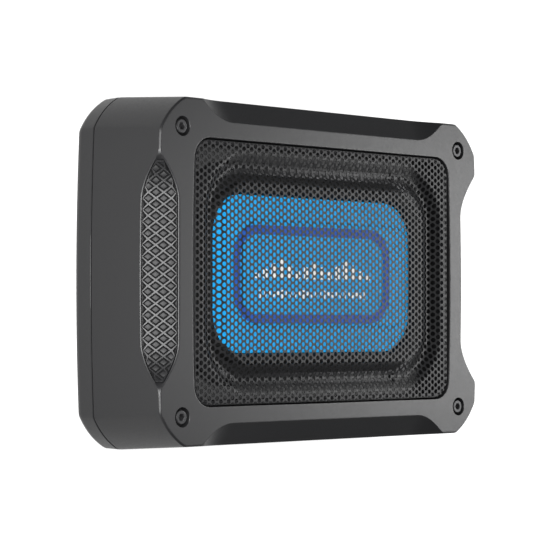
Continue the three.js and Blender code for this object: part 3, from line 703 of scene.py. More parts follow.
def grip_pad():
    """The lattice, closed below, inside a plain rim that narrows to the pad's tips."""
    points, faces = flat_sheet("lattice", grip_cell(), grip_finish, 8, 24,
                               GRIP_CELL_ACROSS / 2, GRIP_CELL_ALONG)
    tip = pad_along[pad_scoop.depth[pad_run] > 1.2].max()
    along = np.clip(points[:, 1] - GRIP_CELL_ALONG / 4, -tip + GRIP_TIP, tip - GRIP_TIP)
    middle = pad_reach(along) / 2
    reach = np.maximum(middle - GRIP_RIM, 0.3)
    offset = np.clip(points[:, 0], -reach, reach)
    across = middle + offset
    flat = np.column_stack([across, along])
    top = on_scoop(across, along, points[:, 2])
    under = on_scoop(across, along, np.full(len(along), -2.6))
    lattice = thickened(top, flat, faces, under)
    stops = np.linspace(-tip, tip, 160)
    rim_rows = []
    inner_stops = np.clip(stops, -tip + GRIP_TIP, tip - GRIP_TIP)
    middle = pad_reach(stops) / 2
    inner_middle = pad_reach(inner_stops) / 2
    inner_reach = np.maximum(inner_middle - GRIP_RIM, 0.3)
    outer_reach = np.maximum(middle - GRIP_EDGE, 0.4)
    for side_reach, at_stops, centre in ((outer_reach, stops, middle),
                                         (inner_reach, inner_stops, inner_middle)):
        loop_along = np.concatenate([at_stops, at_stops[::-1]])
        loop_across = np.concatenate([centre - side_reach, (centre + side_reach)[::-1]])
        rim_rows.append([on_scoop(loop_across, loop_along, np.full(len(loop_along), deep))
                         for deep in (0.0, -2.9)])
    (outer_top, outer_low), (inner_top, inner_low) = rim_rows
    rim_loop = rounded_section([outer_low, outer_top, inner_top, inner_low], [0, 0.35, 0.3, 0])
    return together(lattice, loft(rim_loop, closed=True))


def mark_recesses(pad, sign):
    """Stores how far each point lies below the ribs, for the matt texture of the recesses and for
    the painted shade that darkens their colour.
    """
    places = np.array([v.co for v in pad.data.vertices]) / MM * (sign, 1, 1)
    along = places[:, 1]
    rim_x = RIM_X + SIDE_BOW * (1 - (along / (RIM_Y - CORNER)) ** 2)
    outer = np.column_stack([np.interp(along, pad_along, pad_outer[:, k]) for k in (0, 1)])
    into = np.column_stack([np.interp(along, pad_along, pad_into[:, k]) for k in (0, 1)])
    slope = np.column_stack([np.interp(along, pad_along, pad_slope[:, k]) for k in (0, 1)])
    slope /= np.linalg.norm(slope, axis=1)[:, None]
    square = into - slope * np.sum(into * slope, axis=1)[:, None]
    square /= np.linalg.norm(square, axis=1)[:, None]
    below = np.sum((np.column_stack([places[:, 0] - rim_x, places[:, 2]]) - outer) * square,
                   axis=1)
    attribute = pad.data.attributes.new("recess", "FLOAT", "POINT")
    attribute.data.foreach_set("value", np.clip((below - 0.1) / 0.7, 0, 1).astype(np.float32))


pad_points, pad_faces = grip_pad()
for side, sign in (("right", 1), ("left", -1)):
    pad = build(f"{side}_diamond_grip", (pad_points * (sign, 1, 1), pad_faces), grip_finish)
    mark_recesses(pad, sign)
    fit(pad, "black_plastic", f"{side}_grip_pad")


# ---- Grille -------------------------------------------------------------------------------
# Pressed from one sheet of perforated steel and powder-coated grey: a soft channel runs round
# a raised middle, and its trimmed edge cuts through the outer holes.
# Staggered cells, each with one hole, are trimmed to the outline, pressed and thickened.
HOLE_COLUMN = 3.74
HOLE_ROW = 4.87
HOLE_R = 1.78
GRILLE_TOP = 81.0
GRILLE_SHEET = 0.5
GRILLE_EDGE = (OPENING[0] - 1.6, OPENING[1] - 1.6, OPENING[2] - 1.6)
CHANNEL = (115.0, 74.0, 34.0)
CHANNEL_DEPTH = 4.3
CHANNEL_HALF = 11.5
PLATEAU = (89.0, 37.6, 18.0)
PLATEAU_RISE = 0.55


def hole_cell():
    """A six-cornered tile of the sheet round one twelve-sided hole."""
    hx, hy = HOLE_COLUMN / 2, HOLE_ROW / 2
    tile = [(hx, 0), (hx, hy), (-hx, hy), (-hx, 0), (-hx, -hy), (hx, -hy)]
    angles = [math.atan2(y, x) for x, y in tile]
    hole = []
    for k, start in enumerate(angles):
        turn = (angles[(k + 1) % 6] - start) % (2 * math.pi)
        hole += [(HOLE_R * math.cos(start + turn * t), HOLE_R * math.sin(start + turn * t))
                 for t in (0, 0.5)]
    points = np.array([(x, y, 0) for x, y in tile + hole])
    faces = []
    for k in range(6):
        here, after = k, (k + 1) % 6
        h0, h1, h2 = (6 + (2 * k + step) % 12 for step in range(3))
        faces += [(here, h1, h0), (here, after, h1), (after, h2, h1)]
    return points, faces


def outside(points, hx, hy, r):
    """Distance of points outside a rounded rectangle, and the way back towards it."""
    near = np.clip(points, (r - hx, r - hy), (hx - r, hy - r))
    away = points - near
    reach = np.linalg.norm(away, axis=1)
    box_in = np.minimum(np.max(np.abs(points) - (hx - r, hy - r), axis=1), 0)
    return reach + box_in - r, near, away / np.maximum(reach, 1e-9)[:, None]


def press(flat):
    """The height that the press gives the sheet at places in its plane."""
    distance = outside(flat, *CHANNEL)[0] / CHANNEL_HALF
    channel = np.where(np.abs(distance) < 1, 0.5 + 0.5 * np.cos(math.pi * distance), 0)
    rise = np.clip(-outside(flat, *PLATEAU)[0] / 1.6, 0, 1)
    return GRILLE_TOP - CHANNEL_DEPTH * channel + PLATEAU_RISE * rise * rise * (3 - 2 * rise)


def grille():
    columns = int(2 * GRILLE_EDGE[0] / HOLE_COLUMN) + 3
    rows = int(2 * GRILLE_EDGE[1] / HOLE_ROW) + 3
    points, faces = flat_sheet("tiles", hole_cell(), grille_finish, columns, rows, HOLE_COLUMN,
                               HOLE_ROW)
    flat = points[:, :2] - (0, HOLE_ROW / 4)
    distance, near, away = outside(flat, *GRILLE_EDGE)
    inside = distance < 0
    faces = [face for face in faces if any(inside[i] for i in face)]
    flat = np.where(inside[:, None], flat, near + away * GRILLE_EDGE[2])
    height = press(flat)
    top = np.column_stack([flat, height])
    return thickened(top, flat, faces, np.column_stack([flat, height - GRILLE_SHEET]))


grille_finish = Finish("grey_powder_coat", (0.008, 0.008, 0.0085), 0.42, Specular_IOR_Level=0.11)
grille_finish.mottle((0.007, 0.007, 0.0075), (0.010, 0.010, 0.0105), 30, 3)
grille_finish.uneven(0.36, 0.5, 500, 2)
grille_finish.emboss(grille_finish.noise(3500, 2), 0.1, 0.00003)
grille_piece = build("perforated_grille", grille(), grille_finish, 50)
fit(grille_piece, "grille_paint", "grille")


# ---- Grille frame -------------------------------------------------------------------------
# A moulded black frame inside the opening carries the grille's edge and shows as a dark gap
# round it. CAD pieces whose shape is right keep it: a softened copy stands for each.
def softened(name, node, finish, width=0.25, sharp_above=35):
    """A copy of a CAD node with its doubles merged, its flat faces joined and its edges eased."""
    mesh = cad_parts[node].data.copy()
    work = bmesh.new()
    work.from_mesh(mesh)
    bmesh.ops.remove_doubles(work, verts=work.verts, dist=1e-6)
    bmesh.ops.dissolve_limit(work, angle_limit=math.radians(1), verts=work.verts, edges=work.edges)
    bmesh.ops.recalc_face_normals(work, faces=work.faces)
    work.to_mesh(mesh)
    work.free()
    piece = bpy.data.objects.new(name, mesh)
    bpy.context.scene.collection.objects.link(piece)
    if width:
        bevel = piece.modifiers.new("eased_edges", "BEVEL")
        bevel.width = width * MM
        bevel.segments = 2
        bevel.limit_method = "ANGLE"
        bevel.angle_limit = math.radians(sharp_above)
        bevel.use_clamp_overlap = True
        settle(piece)
    paint(piece, finish)
    shade(piece, sharp_above)
    return piece


moulded_finish = Finish("moulded_black", (0.005, 0.005, 0.0055), 0.55, Specular_IOR_Level=0.2)
moulded_finish.uneven(0.45, 0.6, 600, 2)
moulded_finish.mottle((0.005, 0.005, 0.0055), (0.008, 0.008, 0.0085), 50)
moulded_finish.emboss(moulded_finish.noise(2400, 2), 0.15, 0.00004)
fit(softened("grille_edge_frame", "grille_frame", moulded_finish), "black_plastic", "grille_frame")


# ---- Driver chassis and gasket ------------------------------------------------------------
# A pressed steel basket, black, screwed to the baffle through eight holes over a foam gasket.
# Its screws are pan heads with a cross recess, copied onto the flange's holes.
def rounded_rect(hx, hy, r, steps=10):
    points = []
    for quarter in range(4):
        angles = np.linspace(quarter, quarter + 1, steps + 1) * math.pi / 2
        sx = 1 if quarter in (0, 3) else -1
        sy = 1 if quarter < 2 else -1
        points += [(sx * (hx - r) + r * math.cos(a), sy * (hy - r) + r * math.sin(a))
                   for a in angles]
    return np.array(points)


def copies_tree():
    """Puts a copy of another object's mesh on each point of the piece."""
    sockets = [("Places", "Geometry"), ("Shape", "Object"), ("Material", "Material")]
    tree, source, add = node_tree("copies_at_places", sockets)
    shape = add("GeometryNodeObjectInfo", "Geometry", Object=source["Shape"])
    copies = add("GeometryNodeInstanceOnPoints", Points=source["Places"], Instance=shape)
    finish_tree(tree, add, copies, source["Material"])
    return tree


copies_at_places = copies_tree()


def copied(name, shape, places, finish, sharp_above=35):
    """One piece made of copies of a shape at places in millimetres."""
    master = build("master", shape, finish)
    mesh = bpy.data.meshes.new(name)
    mesh.from_pydata([tuple(c * MM for c in place) for place in places], [], [])
    piece = bpy.data.objects.new(name, mesh)
    bpy.context.scene.collection.objects.link(piece)
    grown(piece, copies_at_places, shape=master, material=finish.material)
    bpy.data.objects.remove(master)
    paint(piece, finish)
    shade(piece, sharp_above)
    return piece


def carved_shape(shape, tool):
    """A shape with a tool cut out, as points in millimetres and faces."""
    piece = build("blank", shape, moulded_finish)
    carve(piece, build("tool", tool, moulded_finish))
    result = (np.array([v.co for v in piece.data.vertices]) / MM,
              [tuple(face.vertices) for face in piece.data.polygons])
    bpy.data.objects.remove(piece)
    return result


def cross_outline(half, wide):
    """The twelve corners of a cross, from its half length and half width."""
    return np.array([(half, -wide), (half, wide), (wide, wide), (wide, half),
                     (-wide, half), (-wide, wide), (-half, wide), (-half, -wide),
                     (-wide, -wide), (-wide, -half), (wide, -half), (wide, -wide)])


def cross_recess(half, wide, z0, z1):
    """A cross-shaped tool for a screwdriver recess, narrowing downwards."""
    ring = cross_outline(half, wide)
    return loft([level(ring * 0.75, z0), level(ring, z1)])


def pan_head(r, high, sides=32):
    """A pan-head screw's head on its seat at z 0, with its cross recess."""
    head = lathe([(r, 0), (r, high * 0.55), (r * 0.8, high * 0.9), (r * 0.4, high)], sides=sides,
                 radii=[0, r * 0.2, r * 0.2, 0])
    return carved_shape(head, cross_recess(r * 0.55, r * 0.13, high * 0.35, high + 1))


black_oxide = Finish("black_oxide_steel", (0.012, 0.012, 0.013), 0.38, metallic=0.6)
black_oxide.uneven(0.3, 0.48, 400, 3)
black_oxide.mottle((0.009, 0.009, 0.010), (0.016, 0.016, 0.017), 120, 3)
basket = softened("basket_chassis", "driver_basket", black_oxide, 0.4)
fit(basket, "black_steel", "driver_basket")

FLANGE_LOW = BAFFLE_TOP + 1.3
FLANGE_TOP = FLANGE_LOW + 1.7
flange_holes = [(x, y, FLANGE_TOP) for x, y in corners(86, 75.5) + corners(124.5, 36)]
driver_screws = copied("driver_screws", pan_head(3.2, 1.9), flange_holes, black_oxide)
fit(driver_screws, "black_steel")

foam_finish = Finish("open_cell_foam", (0.035, 0.036, 0.04), 0.95)
cells = foam_finish.add("ShaderNodeTexVoronoi", {"Vector": foam_finish.place, "Scale": 900},
                        "Distance")
foam_finish.set("Base Color",
                foam_finish.mix(foam_finish.ramp(cells, 0, 1, 0.1, 0.7), (0.02, 0.02, 0.023),
                                (0.055, 0.056, 0.06)))
foam_finish.emboss(cells, 0.7, 0.0006)
fit(softened("foam_gasket", "driver_gasket", foam_finish, 0.3), "foam", "driver_gasket")


# ---- Surround -----------------------------------------------------------------------------
# The rubber half roll that lets the diaphragm move, running between the flange and the diaphragm's
# edge.
CONE = (105.0, 56.0, 29.0)
CONE_TOP = 66.5
SURROUND_LOW = FLANGE_TOP + 0.3
rubber_finish = Finish("black_rubber", (0.003, 0.003, 0.003), 0.66, Specular_IOR_Level=0.12)
rubber_finish.uneven(0.55, 0.75, 300, 3)
rubber_finish.mottle((0.004, 0.004, 0.004), (0.007, 0.007, 0.007), 60, 3)
rubber_finish.emboss(rubber_finish.noise(1800, 2), 0.12, 0.00005)


def surround_shape():
    angles = np.linspace(0, math.pi, 13)
    over = [(0.8 + 3.6 * (1 - math.cos(a)), 1.4 + 3.4 * math.sin(a)) for a in angles]
    under = [(0.9 + 3.6 * (1 - math.cos(a)), 0.7 + 3.3 * math.sin(a)) for a in angles[::-1]]
    profile = [(0.3, -0.5), *over, (14.4, 0.9), (14.4, 0), (8.6, 0), *under[:-1], (1.2, -0.3)]
    rows = [level(rounded_rect(*(size + out for size in CONE), 12), SURROUND_LOW + lift)
            for out, lift in profile]
    return loft(rows, closed=True)


surround = build("rubber_surround", surround_shape(), rubber_finish, 60)
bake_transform(surround)
places = np.array([v.co for v in surround.data.vertices]) / MM
across_roll = np.clip((outside(places[:, :2], *CONE)[0] - 0.8) / 7.2, 0, 1)
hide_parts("surround")


# ---- Diaphragm ----------------------------------------------------------------------------
# A flat foam-cored plate with a satin light-blue skin, tapering behind to the voice coil.
# A deep blue band runs round its middle, with plain level bars and a row of ticks in white.
blue_skin = Finish("light_blue_skin", (0.005, 0.36, 0.80), 0.5, Specular_IOR_Level=0.12)
blue_skin.mottle((0.004, 0.34, 0.76), (0.007, 0.39, 0.84), 22, 3)
blue_skin.uneven(0.45, 0.58, 240, 3)
blue_skin.emboss(blue_skin.noise(1500, 2), 0.1, 0.00005)
deep_blue = Finish("deep_blue_band", (0.002, 0.10, 0.55), 0.45, Specular_IOR_Level=0.12)
deep_blue.mottle((0.002, 0.07, 0.42), (0.003, 0.10, 0.50), 30, 3)
deep_blue.uneven(0.4, 0.52, 240, 3)
white_ink = Finish("white_print", (0.8, 0.8, 0.79), 0.5)
white_ink.mottle((0.78, 0.78, 0.77), (0.86, 0.86, 0.85), 80, 3)
white_ink.uneven(0.42, 0.55, 300, 2)

NECK_R = 27.0
CONE_ROWS = [((NECK_R, NECK_R, NECK_R - 0.01), 50.0, 0), (CONE, CONE_TOP - 2.5, 0.5),
             (CONE, CONE_TOP, 0.8),
             ((CONE[0] - 6, CONE[1] - 6, CONE[2] - 6), CONE_TOP, 0)]
rows = [level(rounded_rect(*size, 12), z) for size, z, _ in CONE_ROWS]
diaphragm = build("flat_diaphragm", loft(rounded_section(rows, [r for _, _, r in CONE_ROWS])),
                  blue_skin)
fit(diaphragm, "blue_cone", "diaphragm", body="cone_assembly")

BAND = (82.5, 35.0, 23.0)
BAND_WIDE = 6.6
BAND_LOW = CONE_TOP + 0.3
BAND_TOP = CONE_TOP + 0.8
band_inner = tuple(size - BAND_WIDE for size in BAND)
rows = [level(rounded_rect(*BAND, 12), BAND_LOW), level(rounded_rect(*BAND, 12), BAND_TOP),
        level(rounded_rect(*band_inner, 12), BAND_TOP),
        level(rounded_rect(*band_inner, 12), BAND_LOW)]
band = build("blue_band", loft(rounded_section(rows, [0, 0.25, 0.25, 0]), closed=True), deep_blue)
fit(band, "deep_blue", "diaphragm_band", body="cone_assembly")

BAR_HEIGHTS = [4, 7, 11, 14, 10, 6, 9, 13, 9, 6, 10, 14, 11, 7, 4]
BAR_PITCH = 8.4
BAR_BASE = -3.0
TICK_PITCH = 4.4
PRINT_Z = (CONE_TOP + 0.02, CONE_TOP + 0.14)


def printed_bar(x, y, wide, high):
    """A thin round-ended bar of ink on the diaphragm."""
    outline = rounded_rect(wide / 2, high / 2, wide * 0.35, 4) + (x, y)
    return loft([level(outline, z) for z in PRINT_Z])


marks = []
for k, high in enumerate(BAR_HEIGHTS):
    marks.append(printed_bar((k - (len(BAR_HEIGHTS) - 1) / 2) * BAR_PITCH, BAR_BASE + high / 2,
                             4.6, high))
for k in range(26):
    marks.append(printed_bar((k - 12.5) * TICK_PITCH, -14.0, 2.2, 4.2 if k % 5 else 6.4))
fit(build("level_bars", together(*marks), white_ink), "white_plastic", body="cone_assembly")


# ---- Voice coil, spider and lead-out wires ------------------------------------------------
# The aluminium former carries the copper winding into the magnet's gap. A corrugated
# resin-dipped cloth disc centres it, and two braided wires bring the current to it.
COIL_R = 25.0
BASKET_R = 52.0
bare_aluminium = Finish("bare_aluminium", (0.6, 0.61, 0.62), 0.38, metallic=1.0)
bare_aluminium.uneven(0.28, 0.48, 200, 4)
bare_aluminium.mottle((0.54, 0.55, 0.56), (0.64, 0.65, 0.66), 60, 3)
copper = Finish("enamelled_copper", (0.55, 0.2, 0.08), 0.3, metallic=1.0)
winding = copper.add("ShaderNodeTexWave", {"Vector": copper.place, "Scale": 420.0}, 1,
                     bands_direction="Z")
copper.set("Base Color", copper.mix(winding, (0.34, 0.11, 0.04), (0.62, 0.24, 0.1)))
copper.uneven(0.25, 0.4, 200, 2)
copper.emboss(winding, 0.5, 0.0001)
former = build("coil_tube",
               lathe([(COIL_R, 26), (COIL_R + 0.5, 26), (COIL_R + 0.5, 49.7), (COIL_R, 49.7)],
                                  sides=96, closed=True), bare_aluminium)
fit(former, "aluminium", "coil_former", body="cone_assembly")
coil_profile = [(COIL_R + 0.8, 26), (COIL_R + 1.7, 26), (COIL_R + 1.7, 36), (COIL_R + 0.8, 36)]
coil = build("coil_winding", lathe(coil_profile, sides=96, closed=True, radii=[0.2] * 4), copper)
fit(coil, "copper", "voice_coil", body="cone_assembly")

cloth = Finish("resin_dipped_cloth", (0.26, 0.13, 0.045), 0.85)
warp = cloth.add("ShaderNodeTexWave", {"Vector": cloth.place, "Scale": 380.0}, 1,
                 bands_direction="X")
weft = cloth.add("ShaderNodeTexWave", {"Vector": cloth.place, "Scale": 380.0}, 1,
                 bands_direction="Y")
weave = warp * weft
cloth.set("Base Color", cloth.mix(weave, (0.18, 0.085, 0.03), (0.34, 0.18, 0.07)))
cloth.emboss(weave, 0.5, 0.0002)
SPIDER_WAVES = 6
spider_steps = np.linspace(0, 1, 49)
spider_rise = (0.7 * np.sin(spider_steps * SPIDER_WAVES * math.pi)
               * np.sin(spider_steps * math.pi) ** 0.3)
spider_r = COIL_R + 0.8 + (BASKET_R - 3.0 - COIL_R - 0.8) * spider_steps
spider_over = list(zip(spider_r, 45.7 + spider_rise))
spider_under = list(zip(spider_r, 45.2 + spider_rise))[::-1]
spider = build("corrugated_spider", lathe(spider_over + spider_under, sides=96, closed=True),
               cloth, 60)
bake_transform(spider)
places = np.array([v.co for v in spider.data.vertices]) / MM
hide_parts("spider")


def tube(route, r, sides=10):
    """A round wire along a smooth route of points in millimetres."""
    route = np.array(route, float)
    ahead = np.gradient(route, axis=0)
    ahead /= np.linalg.norm(ahead, axis=1)[:, None]
    side = np.cross(ahead, (1.0, 0.02, 0.03))
    side /= np.linalg.norm(side, axis=1)[:, None]
    other = np.cross(ahead, side)
    angles = np.arange(sides) / sides * 2 * math.pi
    return loft([p + r * (np.outer(np.cos(angles), u) + np.outer(np.sin(angles), v))
                 for p, u, v in zip(route, side, other)])


def smooth_route(points, count):
    """A smooth curve through points, by repeated averaging of a finely divided line."""
    points = np.array(points, float)
    span = np.cumsum([0, *np.linalg.norm(np.diff(points, axis=0), axis=1)])
    at = np.linspace(0, span[-1], count)
    route = np.column_stack([np.interp(at, span, points[:, k]) for k in range(3)])
    for _ in range(count // 3):
        route[1:-1] = (route[:-2] + 2 * route[1:-1] + route[2:]) / 4
    return route


LEAD_Y = (-28.2, -47.5)
LEAD_Z = 48.2
leads = []
for x in (-4, 4):
    points = [(x, LEAD_Y[0], LEAD_Z), (x, -33, LEAD_Z - 0.2), (x, -40, LEAD_Z + 1.2),
              (x, LEAD_Y[1], LEAD_Z - 0.2)]
    leads.append(tube(smooth_route(points, 28), 0.55))
lead_wires = build("coil_lead_wires", together(*leads), copper)
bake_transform(lead_wires)


# ---- Magnet assembly and terminals --------------------------------------------------------
# A ferrite ring held between a steel top plate and a steel yoke, glued and clamped under the
# basket; the terminal block on the basket's side takes the cable from the amplifier.
plated_steel = Finish("zinc_plated_steel", (0.55, 0.56, 0.57), 0.34, metallic=1.0)
plated_steel.uneven(0.25, 0.45, 150, 4)
plated_steel.mottle((0.46, 0.47, 0.49), (0.60, 0.60, 0.61), 45, 4)
ferrite = Finish("sintered_ferrite", (0.03, 0.03, 0.033), 0.6)
ferrite.mottle((0.02, 0.02, 0.022), (0.045, 0.045, 0.05), 160, 4)
ferrite.emboss(ferrite.noise(900, 3), 0.3, 0.0001)
top_plate = lathe([(27.5, 28), (47, 28), (47, 33.7), (27.5, 33.7)], sides=96, closed=True,
                  radii=[0.4] * 4)
fit(build("front_pole_plate", top_plate, plated_steel), "plated_steel", "top_plate")
magnet_ring = lathe([(29.5, 16.3), (45, 16.3), (45, 27.7), (29.5, 27.7)], sides=96, closed=True,
                    radii=[0.8] * 4)
fit(build("ferrite_ring", magnet_ring, ferrite), "ferrite", "magnet")
yoke_profile = [(20, 10), (46, 10), (47, 11), (47, 16), (24.4, 16), (24.4, 34), (12, 34)]
fit(build("pole_yoke", lathe(yoke_profile, sides=96, radii=[0, 0.4, 0.4, 0.4, 0.6, 0.6, 0]),
          plated_steel),
    "plated_steel", "yoke")
fit(softened("terminal_block", "driver_terminals", moulded_finish), "black_plastic",
    "driver_terminals")
cable_points = [(0, -56, 39), (0, -60, 38.6), (0, -62, 36), (0, -62, 30), (0, -62, 24.2)]
fit(build("driver_cable", tube(smooth_route(cable_points, 30), 1.6, 16), rubber_finish),
    "rubber", "speaker_cable")
fit(softened("damping_pad", "damping_foam", foam_finish, 1.2), "foam", "damping_foam")


# ---- Rear cover, seal and feet ------------------------------------------------------------
# The second die-cast shell closes the box from behind, bevelled at its back edge. A rubber
# seal lies in the joint, and four rubber feet stand in from the corners.
BACK_Z = 1.5
SEAM_LOW = 18.0
FLOOR_TOP = BACK_Z + WALL
COVER_SECTION = [(-1 - WALL, FLOOR_TOP, 0), (DRAFT - WALL - 0.6, FLOOR_TOP + 3, 0),
                 (DRAFT - WALL, SEAM_LOW, 0), (DRAFT, SEAM_LOW, 0.5), (3.6, BACK_Z + 3, 0.8),
                 (2.8, BACK_Z, 0.6), (-6, BACK_Z, 0)]
rows = eased([level(at_rim.rim(grow), z) for grow, z, _ in COVER_SECTION])
cover = build("rear_cover_shell", loft(rounded_section(rows, [r for _, _, r in COVER_SECTION])),
              housing_finish)
BOARD_POSTS = [(-84, -95), (84, -95), (-84, -65), (84, -65)]
posts = [rod(3, BACK_Z + 1, 21.7, x, y, 24) for x, y in BOARD_POSTS]
posts += [rod(7, BACK_Z + 1, SEAM_LOW, x, y)
          for x, y in corners(FRONT_SCREW["x"], FRONT_SCREW["y"])]
posts += [rod(6, BACK_Z + 1, SEAM_LOW, x, y) for x, y in corners(REAR_SCREW["x"], REAR_SCREW["y"])]
carve(cover, build("posts", together(*posts), housing_finish), "UNION")
cuts = [rod(FRONT_SCREW["bore"], FLOOR_TOP + 2.5, SEAM_LOW + 1, x, y, 24)
        for x, y in corners(FRONT_SCREW["x"], FRONT_SCREW["y"])]
for x, y in corners(REAR_SCREW["x"], REAR_SCREW["y"]):
    wide, bore, floor_z = REAR_SCREW["counterbore"], REAR_SCREW["bore"], REAR_SCREW["floor"]
    profile = [(wide + 0.5, BACK_Z - 1), (wide + 0.5, BACK_Z), (wide, BACK_Z + 0.5),
               (wide, floor_z),
               (bore, floor_z), (bore, SEAM_LOW + 1)]
    cuts.append(lathe(profile, x, y, 32))
carve(cover, build("cuts", together(*cuts), housing_finish))
shade(cover)
fit(cover, "housing_paint", "rear_cover")

SEAL_SECTION = [(DRAFT - 2.3, SEAM_LOW + 0.3), (DRAFT - 1, SEAM_LOW + 0.3),
                (DRAFT - 1, SEAM_HIGH - 0.3),
                (DRAFT - 2.3, SEAM_HIGH - 0.3)]
rows = [level(at_rim.rim(grow), z) for grow, z in SEAL_SECTION]
fit(build("joint_seal", loft(rows, closed=True), rubber_finish), "rubber", "cover_seal")

FOOT = {"x": 140.0, "y": 92.0, "r": 11.0, "high": 1.2}
foot_profile = [(6.5, 0.35), (7.5, 0), (FOOT["r"] - 0.7, 0), (FOOT["r"], 0.7),
                (FOOT["r"], FOOT["high"])]
foot = lathe(foot_profile, sides=64, radii=[0, 0.3, 0.3, 0.2, 0])
feet = copied("rubber_feet", foot, [(x, y, 0) for x, y in corners(FOOT["x"], FOOT["y"])],
              rubber_finish)
CORNER_NAMES = ["upper_right", "upper_left", "lower_left", "lower_right"]
fit(feet, "rubber", *(f"{name}_foot" for name in CORNER_NAMES))


# ---- Housing screws and cover screws ------------------------------------------------------
# Four long black socket-head screws go in from the bezel and draw the two shells together;
# four cross-recess screws go in from the back. Each kind is one shape copied to its places.
HEAD_R = 4.75
HEAD_HIGH = 4.6
SHANK_R = 2.35


def socket_screw():
    seat = FRONT_SCREW["floor"] + 0.3
    top = seat + HEAD_HIGH
    shank = [(1.6, 9), (SHANK_R, 9.8), (SHANK_R, seat), (HEAD_R, seat), (HEAD_R, top), (2.0, top)]
    body = lathe(shank, sides=48, radii=[0, 0.2, 0, 0.3, 0.55, 0])
    angles = np.arange(6) / 6 * 2 * math.pi
    hexagon = np.column_stack([np.cos(angles), np.sin(angles)])
    socket = loft([level(hexagon * r, z) for r, z in
                   ((0.4, top - 4.5), (2.5, top - 4.1), (2.5, top - 0.35), (2.9, top),
                    (2.9, top + 1))])
    return carved_shape(body, socket)


front_places = [(x, y, 0) for x, y in corners(FRONT_SCREW["x"], FRONT_SCREW["y"])]
screw_steel = Finish("black_screw_steel", (0.02, 0.02, 0.021), 0.4, metallic=0.5,
                     Specular_IOR_Level=0.2)
screw_steel.uneven(0.36, 0.46, 500, 3)
screw_steel.mottle((0.017, 0.017, 0.018), (0.023, 0.023, 0.024), 200, 3)
housing_screws = copied("socket_head_screws", socket_screw(), front_places, screw_steel)
fit(housing_screws, "black_steel", *(f"{name}_housing_screw" for name in CORNER_NAMES))

cover_head = [(1.2, 34), (1.6, 33), (1.6, 5.7), (4, 5.7), (4, 3.4), (3, BACK_Z + 0.6),
              (2.4, BACK_Z + 0.6)]
cover_screw = lathe(cover_head, sides=40, radii=[0, 0.3, 0, 0.2, 0.6, 0.4, 0])
cross = cross_outline(2.2, 0.45)
cross_tool = loft([level(cross, 0), level(cross, BACK_Z + 0.6), level(cross * 0.7, BACK_Z + 2.4)])
rear_places = [(x, y, 0) for x, y in corners(REAR_SCREW["x"], REAR_SCREW["y"])]
cover_screws = copied("cross_recess_screws", carved_shape(cover_screw, cross_tool), rear_places,
                      black_oxide)
fit(cover_screws, "black_steel", *(f"{name}_cover_screw" for name in CORNER_NAMES))


# ---- Control panel ------------------------------------------------------------------------
# A moulded black plate closes the bay in the long side and carries every socket and control.
# Four small screws hold it, and plain printed scales ring the knobs and mark the switches.
PANEL_FACE = -108.0
PANEL_Z = (BAY["low"] + BAY["high"]) / 2


def on_panel(points):
    """The panel's own frame (along it, up it, out of it) turned into place."""
    points = np.asarray(points, float)
    return np.column_stack([points[:, 0], PANEL_FACE - points[:, 2], PANEL_Z + points[:, 1]])


def panel_piece(name, shape, finish, sharp_above=35):
    points, faces = shape
    return build(name, (on_panel(points), faces), finish, sharp_above)


def moved(shape, x, y, z=0.0):
    points, faces = shape
    return points + (x, y, z), faces


control_finish = Finish("fine_black_plastic", (0.016, 0.016, 0.017), 0.38)
control_finish.uneven(0.32, 0.48, 800, 2)
control_finish.mottle((0.013, 0.013, 0.014), (0.02, 0.02, 0.021), 90)
control_finish.emboss(control_finish.noise(3000, 2), 0.08, 0.00003)
fit(softened("panel_plate", "control_panel", moulded_finish, 0.3), "black_plastic",
    "control_panel")

PANEL_SCREWS = corners(96.5, 10)
head_points, head_faces = pan_head(2.6, 1.5)
panel_screws = together(*((on_panel(head_points + (x, y, 0)), head_faces)
                          for x, y in PANEL_SCREWS))
fit(build("panel_screws", panel_screws, plated_steel), "plated_steel")

KNOB_X = {"gain": 22.0, "low_pass": 42.0, "bass": 62.0}
KNOB_SWEEP = math.radians(140)
SCALE_R = 7.6
scale_marks = []
for x in KNOB_X.values():
    for k in range(11):
        angle = math.pi / 2 - KNOB_SWEEP + 2 * KNOB_SWEEP * k / 10
        out = np.array([math.cos(angle), math.sin(angle)])
        side = np.array([-out[1], out[0]])
        reach = 1.6 if k % 5 == 0 else 1.0
        ring = [out * SCALE_R + side * 0.22, out * SCALE_R - side * 0.22,
                out * (SCALE_R + reach) - side * 0.22, out * (SCALE_R + reach) + side * 0.22]
        scale_marks.append(moved(loft([level(np.array(ring), z) for z in (0.01, 0.09)]), x, 0))
for y in (6.5, -6.5):
    for x in (80 - 5.6, 80 + 5.6):
        scale_marks.append(block(x - 0.25, x + 0.25, y - 1.4, y + 1.4, 0.01, 0.09))
fit(panel_piece("panel_scales", together(*scale_marks), white_ink), "white_plastic")


# ---- Power and speaker-level sockets, fuse ------------------------------------------------
# Two open-mouthed moulded sockets with plated blades inside and a keying rib, and a blade
# fuse standing in its holder between them.
SOCKETS = {"power": (-80.0, 10.5, 7.0,
                     [(-4.4, 2.1), (0, 2.1), (4.4, 2.1), (-4.4, -2.1), (0, -2.1), (4.4, -2.1)]),
           "speaker_level": (-45.0, 8.0, 5.5,
                             [(-2.4, 1.6), (2.4, 1.6), (-2.4, -1.6), (2.4, -1.6)])}
blades = []
for name, (x, hx, hy, pins) in SOCKETS.items():
    fit(softened(f"{name}_connector", f"{name}_socket", control_finish), "control_plastic",
        f"{name}_socket")
    for px, py in pins:
        ring = rounded_rect(1.1, 0.45, 0.3, 3) + (x + px, py)
        tip = rounded_rect(0.7, 0.25, 0.2, 3) + (x + px, py)
        blades.append(loft([level(ring, -7.5), level(ring, 1.6), level(tip, 2.4)]))
